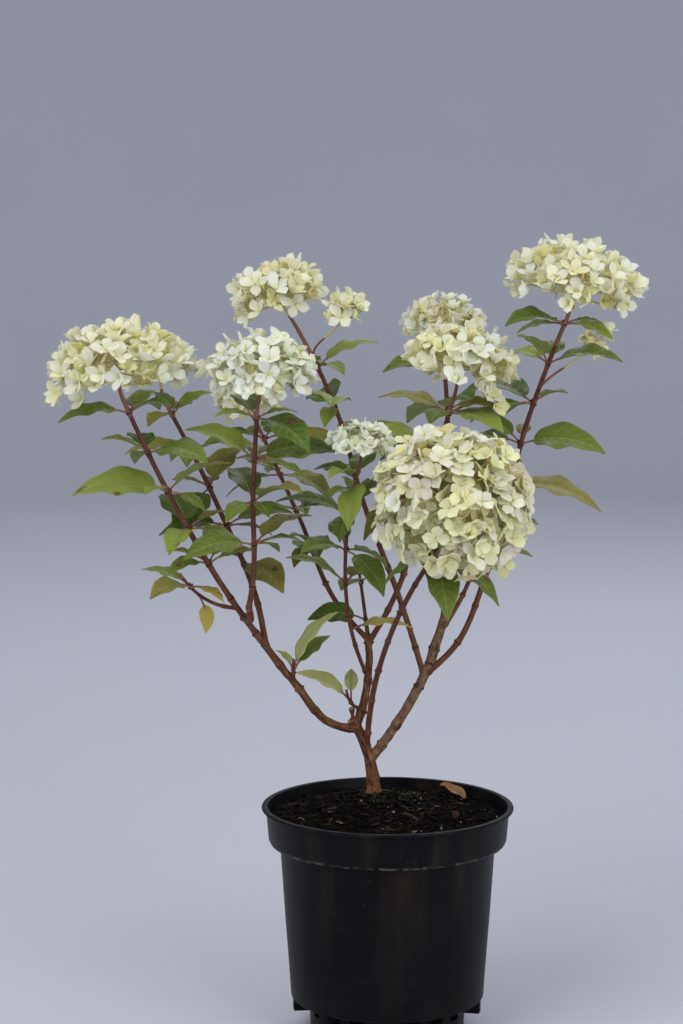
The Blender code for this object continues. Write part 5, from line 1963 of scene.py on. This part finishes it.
@dataclass
class Foliage:
    """The leaves: toothed, veined, folded blades that are dealt their tints leaf by leaf."""

    skeleton: Skeleton
    leaves: Sequence[Leaf]
    finishes: Finishes
    teeth: int = 30
    columns: int = 11
    tooth: float = 0.00075
    thickness: float = 0.0005
    vein_depth: float = 0.0005
    quilt: float = 0.0006
    wave: float = 0.1
    waves: float = 2.6
    slimness: float = 0.94
    pale_slimness: float = 0.78
    tip_taper: float = 0.6
    spotted: float = 0.3
    tints: tuple[str, ...] = (
        "leaf_fresh", "leaf_green", "leaf_deep", "leaf_olive", "leaf_pale", "leaf_yellow",
        "leaf_under", "leaf_scorch",
    )

    def build(self) -> None:
        """Models the leaves of each spray as one piece."""
        for spray in Spray:
            sculpt = Sculpt(spray.value + "_foliage", self.finishes, self.tints)
            for leaf in self.leaves:
                if self.skeleton.spray(leaf.shoot) is spray:
                    self.blade(sculpt, leaf)
            shoots = [limb.name.removesuffix("_cane") + "_leaves" for limb in CANES
                      if limb.bare < 1.0 and self.skeleton.spray(limb.name) is spray]
            dress(sculpt.finish(), shoots)

    def tint(self, leaf: Leaf, draw: random.Random) -> str:
        """The finish of a leaf's upper face: greener high up, and yellower low down."""
        if leaf.tint:
            return LEAF_TINTS[leaf.tint]
        return draw.choices(self.tints[:4], (36, 42, 14, 8 + 5 * leaf.pair))[0]

    def relief(self, leaf: Leaf, far: Array, across: Array, draw: random.Random) -> Array:
        """How far a blade stands out of its smooth fold: veins, quilting, and waves at its edges.

        Args:
            leaf: The leaf.
            far: The rows' places along the blade, as a column.
            across: The columns' places across it.
            draw: The source of its waves and curl.

        Returns:
            One height for each point of its grid.
        """
        spread, half = abs(across)[None, :], leaf.half_width(far)
        body = np.clip(half / half.max(), 0, 1)
        beside = abs((far * VEIN_PAIRS - spread * VEIN_SWEEP + 0.5) % 1 - 0.5)
        relief = -self.vein_depth * bump(beside, 0.13) * (1 - 0.6 * spread) * body
        relief += self.quilt * (beside * 2) ** 2 * (1 - spread**3) * body
        relief -= self.vein_depth * bump(spread, 0.09)
        phase = draw.uniform(0, 1)
        waves = np.sin(2 * pi * (self.waves * far + phase + 0.5 * (across[None] > 0)))
        relief += self.wave * half * spread**2.2 * waves * body
        return relief - draw.uniform(0.02, 0.22) * half * spread**2

    def blade(self, sculpt: Sculpt, leaf: Leaf) -> None:
        """One leaf's blade, with the rib that stands out below it.

        Args:
            sculpt: The piece that it joins.
            leaf: The leaf.
        """
        draw = random.Random(f"{leaf.shoot} {leaf.pair} {leaf.bearing:.3f}")
        teeth = max(12, round(self.teeth * leaf.length / LEAF_LENGTH))
        shares = np.concatenate([[0.008, 0.025], np.linspace(0.05, 0.965, 2 * teeth + 1), [0.985]])
        across = np.linspace(-1, 1, self.columns if leaf.length > LEAF_LENGTH / 2 else self.columns - 4)
        across = np.sign(across) * abs(across) ** 0.85
        points, sides, tops = leaf.midrib(PETIOLE + shares * leaf.length)
        fold = radians(LEAF_FOLD)
        lean = np.sign(across)[None, :, None] * sin(fold)
        normal = tops[:, None] * cos(fold) - sides[:, None] * lean
        relief = self.relief(leaf, shares[:, None], across, draw)
        top = leaf.surface(shares, across) + normal * relief[..., None]
        ahead = np.gradient(points, axis=0)
        ahead /= np.linalg.norm(ahead, axis=1)[:, None]
        saw = np.zeros(len(shares))
        saw[3:-2:2] = self.tooth * (0.55 + 0.45 * leaf.width / LEAF_WIDTH)
        for column, sign in ((0, -1), (-1, 1)):
            top[:, column] += sign * sides * saw[:, None] + ahead * saw[:, None] * 0.9
        tint = self.tint(leaf, draw)
        slim = self.slimness * (self.pale_slimness if tint == "leaf_pale" else 1)
        drawn = (slim * (1 - self.tip_taper * shares**3))[:, None, None]
        top = points[:, None] + (top - points[:, None]) * drawn
        skin = shell(top, top - normal * self.thickness)
        slots = np.full((len(shares) - 1, len(across) - 1), sculpt.slots[tint])
        self.spot(slots, shares, across, sculpt, tint, draw)
        sculpt.add(skin, slots.ravel(), tint if tint == "leaf_pale" else "leaf_under", tint)
        line, _, rib_tops = leaf.midrib(np.linspace(PETIOLE - 0.001, leaf.reach - 0.002, 26))
        thick = np.linspace(0.00075, 0.00025, 26)
        line = line - rib_tops * (self.thickness + thick * 0.35)[:, None]
        sculpt.add(tube(line, thick, 6), "leaf_under")

    def spot(self, slots: Array, shares: Array, across: Array, sculpt: Sculpt, tint: str,
             draw: random.Random) -> None:
        """Browns a few patches of some leaves, most often at the tip or the edge.

        Args:
            slots: The slot of each face of the blade, which is changed in place.
            shares: The rows' places along the blade.
            across: The columns' places across it.
            sculpt: The piece, which knows the slots.
            tint: The leaf's own finish.
            draw: The source of the patches.
        """
        chance = self.spotted * {"leaf_olive": 2.2, "leaf_yellow": 2.2, "leaf_pale": 0}.get(tint, 1)
        if draw.random() > chance:
            return
        rows = (shares[:-1] + shares[1:]) / 2
        columns = (across[:-1] + across[1:]) / 2
        for _ in range(draw.randint(1, 3)):
            at, side = draw.triangular(0.15, 1.05, 0.95), draw.uniform(-1.1, 1.1)
            size = draw.uniform(0.02, 0.085)
            reach = (rows[:, None] - at) ** 2 + ((columns[None] - side) * 0.32) ** 2
            slots[reach < size**2] = sculpt.slots["leaf_scorch"]


@dataclass(frozen=True)
class BloomForm:
    """How the florets of a head are shaped, set and tinted."""

    tints: dict[str, float]
    length: float = 0.0149
    width: float = 0.0098
    cup: float = 45.0
    bend: tuple[float, float] = (-6.0, 34.0)
    buds: float = 0.0
    cover: float = 3.15
    lowest: float = -0.3
    lift: float = 0.62
    tilt: float = 34.0
    # The tints of florets that lie under others: yellower and darker than the outer ones, partly a
    # greener inner tone and partly painted shade under the outer florets.
    inner: tuple[str, ...] = ("sepal_cream", "sepal_lime", "sepal_cream", "sepal_honey")

    def mixed(self, aside: float, high: float) -> dict[str, float]:
        """The mix of tints at a place: a blush head browns below, blushes aside and pales on top.

        Args:
            aside: How far to the right the place is in its head, from -1 to 1.
            high: How high it is, from -1 to 1.

        Returns:
            The share of each tint.
        """
        tints, low = dict(self.tints), max(0.0, -high)
        if "sepal_tan" in tints:
            tints["sepal_tan"] += 26 * low * (1.6 if aside < 0.1 else 0.5)
            tints["sepal_blush"] += 22 * low + 110 * max(0.0, abs(aside) - 0.55)
            tints["sepal_white"] += 70 * max(0.0, high - 0.35)
        return tints


BLOOM_FORMS = {
    Bloom.CREAM: BloomForm({"sepal_ivory": 66, "sepal_cream": 12, "sepal_white": 22}),
    Bloom.WHITE: BloomForm({"sepal_white": 72, "sepal_ivory": 22, "sepal_green": 6},
                           length=0.0138, width=0.0092, cup=38,
                           inner=("sepal_green", "sepal_cream", "sepal_white")),
    Bloom.GREEN: BloomForm({"sepal_green": 62, "sepal_white": 38}, length=0.0105, width=0.0084,
                           buds=0.3, cover=2.8, inner=("sepal_green", "sepal_white")),
    Bloom.BLUSH: BloomForm({"sepal_ivory": 34, "sepal_white": 4, "sepal_cream": 30,
                            "sepal_blush": 10, "sepal_lime": 26, "sepal_tan": 2},
                           length=0.0126, width=0.0108, cup=30, bend=(0, 38), cover=3.6,
                           lowest=-0.74, lift=0.44, tilt=38,
                           inner=("sepal_lime", "sepal_cream", "sepal_lime", "sepal_honey")),
    Bloom.FADED: BloomForm({"sepal_white": 50, "sepal_ivory": 30, "sepal_blush": 17, "sepal_tan": 3},
                           length=0.0125, width=0.0088),
    Bloom.OPEN: BloomForm({"sepal_ivory": 50, "sepal_cream": 50}, length=0.0125, width=0.007,
                          cover=0.9, lowest=-0.8, lift=0.2),
}


@dataclass
class Blossom:
    """The flower heads: branched stalks that hold a dome of florets of four sepals each."""

    skeleton: Skeleton
    finishes: Finishes
    # The florets' layers, outermost first: the size of the dome and the share of the florets.
    layers: Steps = ((1.0, 0.5), (0.86, 0.3), (0.7, 0.2))
    # A sepal's outline: how far along each row is, and its share of the width.
    rows: tuple[float, ...] = (0.02, 0.24, 0.5, 0.74, 0.91, 1.0)
    outline: tuple[float, ...] = (0.16, 0.61, 0.96, 0.89, 0.47, 0.05)
    plain_rows: tuple[int, ...] = (0, 2, 4, 5)
    columns: int = 4
    thickness: float = 0.00032
    lumps: float = 0.1
    jitter: float = 0.22
    side_inset: float = 0.66
    top_inset: float = 0.5
    stalk_rows: int = 22
    branch_spacing: float = 0.0062
    tints: tuple[str, ...] = (
        "sepal_ivory", "sepal_white", "sepal_cream", "sepal_green", "sepal_lime", "sepal_blush",
        "sepal_honey", "sepal_tan", "flower_eye",
    )
    stalk_tints: tuple[str, ...] = ("stalk_cream", "cane_rosy", "sepal_green")

    def build(self) -> None:
        """Models the florets and the stalks of each spray, each kind as one piece."""
        for spray in Spray:
            florets = Sculpt(spray.value + "_blossom", self.finishes, self.tints)
            stalks = Sculpt(spray.value + "_flower_stalks", self.finishes, self.stalk_tints)
            heads = [head for head in HEADS if self.skeleton.spray(head.parent) is spray]
            for head in heads:
                self.head(florets, stalks, head)
            dress(florets.finish(), [head.name for head in heads])
            dress(stalks.finish())

    def places(self, head: Head, draw: random.Random) -> Iterator[tuple[Array, Array, bool]]:
        """Where a head's florets sit and which way they face.

        Args:
            head: The flower head.
            draw: The source of what varies.

        Yields:
            The middle of a floret, its facing and whether it lies under others.
        """
        turn, half = head_frame(head, self.skeleton)
        form = BLOOM_FORMS[head.bloom]
        even = half.prod() ** (1 / 3)
        total = form.cover * 2 * even**2 * (1 - form.lowest) / form.length**2
        inset = form.length * np.array([self.side_inset, self.side_inset, self.top_inset])
        upright = np.array([0, 0, form.lift])
        for scale, part in self.layers:
            count = max(3, round(total * part))
            for i in range(count):
                ball = golden_spot(i, count, form.lowest, draw.uniform(-self.jitter, self.jitter))
                ball = unit(ball + np.array([draw.uniform(-0.06, 0.06) for _ in range(3)]))
                swell = scale * (1 + self.lumps * noise.noise(Vector(ball * 3.1 + head.width * 90)))
                swell *= draw.uniform(0.86, 1.0)
                place = np.array(head.centre) + turn @ (ball * (half - inset) * swell)
                yield place, unit(turn @ unit(ball / half) + upright), scale < 1.0
        for count, start, end in STRAYS.get(head.name, ()):
            for share in np.linspace(0, 1, count):
                place = np.array(start) * (1 - share) + np.array(end) * share
                place = place + [draw.uniform(-0.004, 0.004) for _ in range(3)]
                yield place, unit(place - np.array(head.centre) + np.array([0, -0.02, 0.03])), False

    def head(self, florets: Sculpt, stalks: Sculpt, head: Head) -> None:
        """One flower head.

        Args:
            florets: The piece that its florets join.
            stalks: The piece that its stalks join.
            head: The flower head.
        """
        draw = random.Random(head.name + " florets")
        form = BLOOM_FORMS[head.bloom]
        turn, half = head_frame(head, self.skeleton)
        centre = np.array(head.centre)
        forks = self.branches(stalks, head, draw)
        sway = tan(radians(form.tilt)) / 1.7
        for place, facing, inner in self.places(head, draw):
            facing = unit(facing + np.array([draw.gauss(0, sway) for _ in range(3)]))
            fork = forks[np.linalg.norm(forks - place, axis=1).argmin()]
            base = place - facing * 0.0035
            if draw.random() < form.buds:
                size = draw.uniform(0.0016, 0.0026)
                stalks.add((LUMP * size + place - facing * 0.002, LUMP_SKIN), "sepal_green")
            else:
                aside, high = (place - centre)[0] / half[0], ((place - centre) @ turn)[2] / half[2]
                tints = form.mixed(aside, high)
                self.floret(florets, place, facing, form, tints, inner, draw)
            line = [fork, (fork + base) / 2 + facing * 0.001, base, place - facing * 0.0012]
            stalks.add(tube(line, (0.00055, 0.00042, 0.00045, 0.0007), 5), "stalk_cream")

    def branches(self, stalks: Sculpt, head: Head, draw: random.Random) -> Array:
        """A head's main stalk and its side branches.

        Args:
            stalks: The piece that they join.
            head: The flower head.
            draw: The source of what varies.

        Returns:
            The ends of the branches, which the florets' own stalks leave.
        """
        turn, half = head_frame(head, self.skeleton)
        centre, axis = np.array(head.centre), turn[:, 2]
        foot = self.skeleton.point(head.parent, head.along)
        way = self.skeleton.way(head.parent, min(1.0, head.along))
        thick = self.skeleton.radius(head.parent, head.along) * (0.96 if head.along == 1.0 else 0.55)
        lift = np.linalg.norm(centre - foot)
        knots = (foot, foot + way * lift * 0.35, centre - axis * lift * 0.25, centre,
                 centre + axis * half[2] * 0.62)
        last = self.stalk_rows - 1
        line = np.array([
            sum(comb(4, k) * t**k * (1 - t) ** (4 - k) * knots[k] for k in range(5))
            for t in np.linspace(0, 1, self.stalk_rows)
        ])
        slots = np.repeat(np.where(np.arange(last) < last / 3, 1, 0), 9)
        stalks.add(tube(line, np.linspace(thick, 0.0008, self.stalk_rows), 9), slots, "stalk_cream")
        count = max(5, round(half[0] * 2 / self.branch_spacing))
        forks = []
        for i in range(count):
            ball = golden_spot(i, count, HEAD_LOWEST)
            end = centre + turn @ (ball * half * draw.uniform(0.52, 0.66))
            start = line[round(min(0.9, max(0.42, 0.66 + 0.28 * ball[2])) * last)]
            middle = start * 0.45 + end * 0.55 - axis * half[2] * 0.05
            branch = [start, start * 0.7 + middle * 0.3, middle, end]
            stalks.add(tube(branch, (0.0011, 0.0009, 0.0008, 0.0007), 6), "stalk_cream")
            forks.append(end)
        return np.array(forks)

    def floret(self, florets: Sculpt, place: Array, facing: Array, form: BloomForm,
               tints: dict[str, float], inner: bool, draw: random.Random) -> None:
        """One floret of four sepals round a small eye.

        Args:
            florets: The piece that it joins.
            place: Its middle.
            facing: The way it faces.
            form: Its kind.
            tints: The mix of tints where it sits.
            inner: Whether it lies under others, and so takes the yellower, darker inner tints, which are
                partly painted shade.
            draw: The source of what varies.
        """
        turn = basis(facing)
        spin = draw.uniform(0, pi / 2)
        size = draw.uniform(0.84, 1.1)
        cup = form.cup + draw.uniform(-22, 22)
        tint = draw.choices(list(tints), list(tints.values()))[0]
        # Florets under others take the inner tints, partly as painted shade.
        if inner:
            tint = draw.choice(form.inner)
        for i in range(4):
            pair = 1.04 if i % 2 else 0.94
            angle = spin + i * pi / 2 + draw.uniform(-0.14, 0.14)
            grids = self.sepal(
                form.length * size * pair * draw.uniform(0.94, 1.05),
                form.width * size * pair * draw.uniform(0.9, 1.06),
                radians(cup + draw.uniform(-9, 9)), radians(draw.uniform(*form.bend)), inner, draw)
            foot = place + facing * (0.0004 if i % 2 else 0.0)
            spun = np.array([[cos(angle), -sin(angle), 0], [sin(angle), cos(angle), 0], [0, 0, 1]])
            florets.add(shell(*(foot + (grid @ spun.T) @ turn.T for grid in grids)), tint)
        eye = LUMP * np.array([0.001, 0.001, 0.0008]) @ turn.T + place + facing * 0.0008
        florets.add((eye, LUMP_SKIN), "flower_eye")

    def sepal(self, length: float, width: float, cup: float, bend: float, plain: bool,
              draw: random.Random) -> tuple[Array, Array]:
        """One broad sepal that rises from the floret's middle and bends back.

        Args:
            length: Its length.
            width: Its width.
            cup: How steeply it rises, in radians.
            bend: How far it bends back from there to its tip, in radians.
            plain: Whether it is hidden enough to be modelled coarsely.
            draw: The source of what varies.

        Returns:
            The points of its upper and its lower face.
        """
        chosen = list(self.plain_rows) if plain else slice(None)
        rows, half = np.array([self.rows, self.outline])[:, chosen]
        half = (half * width / 2)[:, None]
        across = np.linspace(-1, 1, 3 if plain else self.columns)[None]
        slope = cup - bend * rows
        step = np.diff(np.concatenate([[0], rows])) * length
        out, up = np.cumsum(np.cos(slope) * step), np.cumsum(np.sin(slope) * step)
        trough, ruffle = draw.uniform(0.02, 0.34), draw.uniform(-0.0007, 0.0007)
        x = out[:, None] - 0.07 * length * across**2 * rows[:, None] ** 2
        z = up[:, None] + half * across**2 * trough + ruffle * np.sin(rows * 5)[:, None] * across
        lift = np.stack([-np.sin(slope), np.zeros(len(rows)), np.cos(slope)], axis=1)
        top = np.stack([x, half * across, z], axis=2)
        return top, top - lift[:, None] * self.thickness


@dataclass
class Studio:
    """A plain pale floor that sweeps up all round, soft lights and the camera."""

    finish: Material
    eye: Place = (-0.0403, -2.163, 0.7217)
    dip: float = 6.95
    lens: float = 88.77
    sensor: float = 36
    floor_height: float = -0.0006
    floor_radius: float = 4.2
    floor_hole: float = 0.05
    sweep: float = 1.6
    wall: float = 2.4
    middle: Place = (0, 0, 0.42)
    air: Colour = (0.87, 0.885, 0.92)
    air_strength: float = 0.62
    # The lights: name, place, side in metres, power in watts and colour.
    lights: tuple[tuple[str, Place, float, float, Colour], ...] = (
        ("key_light", (-1.5, -1.7, 2.5), 1.9, 43, (1.0, 0.985, 0.955)),
        ("fill_light", (1.8, -2.3, 1.3), 1.9, 39, (1.0, 0.99, 0.965)),
        ("back_light", (0.7, 2.3, 2.3), 2.0, 18, (0.97, 0.98, 1.0)),
    )

    def build(self) -> None:
        """Sets up the floor, the lights and the camera."""
        self.floor()
        for name, place, size, power, colour in self.lights:
            lamp = bpy.data.lights.new(name, "AREA")
            lamp.size, lamp.energy, lamp.color = size, power, colour
            holder = bpy.data.objects.new(name, lamp)
            holder.location = place
            away = Vector(place) - Vector(self.middle)
            holder.rotation_euler = away.to_track_quat("Z", "Y").to_euler()
            holder.visible_camera = False
            bpy.context.scene.collection.objects.link(holder)
        bpy.context.scene.view_settings.view_transform = "Standard"
        world = bpy.data.worlds.new("studio_air")
        world.use_nodes = True
        background = world.node_tree.nodes["Background"]
        background.inputs["Color"].default_value = (*self.air, 1)
        background.inputs["Strength"].default_value = self.air_strength
        bpy.context.scene.world = world
        camera = bpy.data.objects.new("camera", bpy.data.cameras.new("camera"))
        camera.location = self.eye
        camera.rotation_euler = (radians(90 - self.dip), 0, 0)
        camera.data.lens, camera.data.sensor_width = self.lens, self.sensor
        bpy.context.scene.collection.objects.link(camera)
        bpy.context.scene.camera = camera

    def floor(self) -> None:
        """A round floor that curves up into a low wall, away from the plant."""
        profile = [(self.floor_hole, self.floor_height), (self.floor_radius, self.floor_height)]
        for step in range(1, 13):
            turn = step * pi / 24
            profile.append((self.floor_radius + self.sweep * sin(turn),
                            self.sweep * (1 - cos(turn))))
        profile.append((self.floor_radius + self.sweep, self.sweep + self.wall))
        floor = draw_profile(profile, 96)
        edit(floor, "DESELECT")
        bpy.ops.object.mode_set(mode="OBJECT")
        for line in floor.data.edges:
            ends = [floor.data.vertices[i].co for i in line.vertices]
            line.select = all(hypot(end.x, end.y) < 1.2 * self.floor_hole for end in ends)
        bpy.ops.object.mode_set(mode="EDIT")
        bpy.ops.mesh.edge_face_add()
        bpy.ops.object.mode_set(mode="OBJECT")
        paint(floor, "studio_floor", self.finish)
        floor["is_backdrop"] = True


def main() -> None:
    """Builds the plant's looks from the pot up, and the studio round it."""
    logging.basicConfig(level=logging.INFO, format="%(name)s: %(message)s")
    finishes = {finish.name: finish.material() for finish in FINISHES}
    skeleton = Skeleton(BOUGHS + CANES)
    layout = LeafLayout(skeleton, HEADS)
    leaves = layout.grow(CANES)
    small = layout.fill(CANES)
    log.info("%d leaves, %d small ones", len(leaves), len(small))
    leaves += small
    NurseryPot(finishes["black_plastic"]).build()
    Compost(finishes).build()
    OldWood(skeleton, finishes).build()
    Canes(skeleton, leaves, finishes).build()
    Foliage(skeleton, leaves, finishes).build()
    Blossom(skeleton, finishes).build()
    Studio(finishes["studio_floor"]).build()
    boxes = {"cad": CAD_BOX, "visual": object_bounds()}
    {name: [list(corner) for corner in box] for name, box in boxes.items()}


if __name__ == "__main__":
    main()
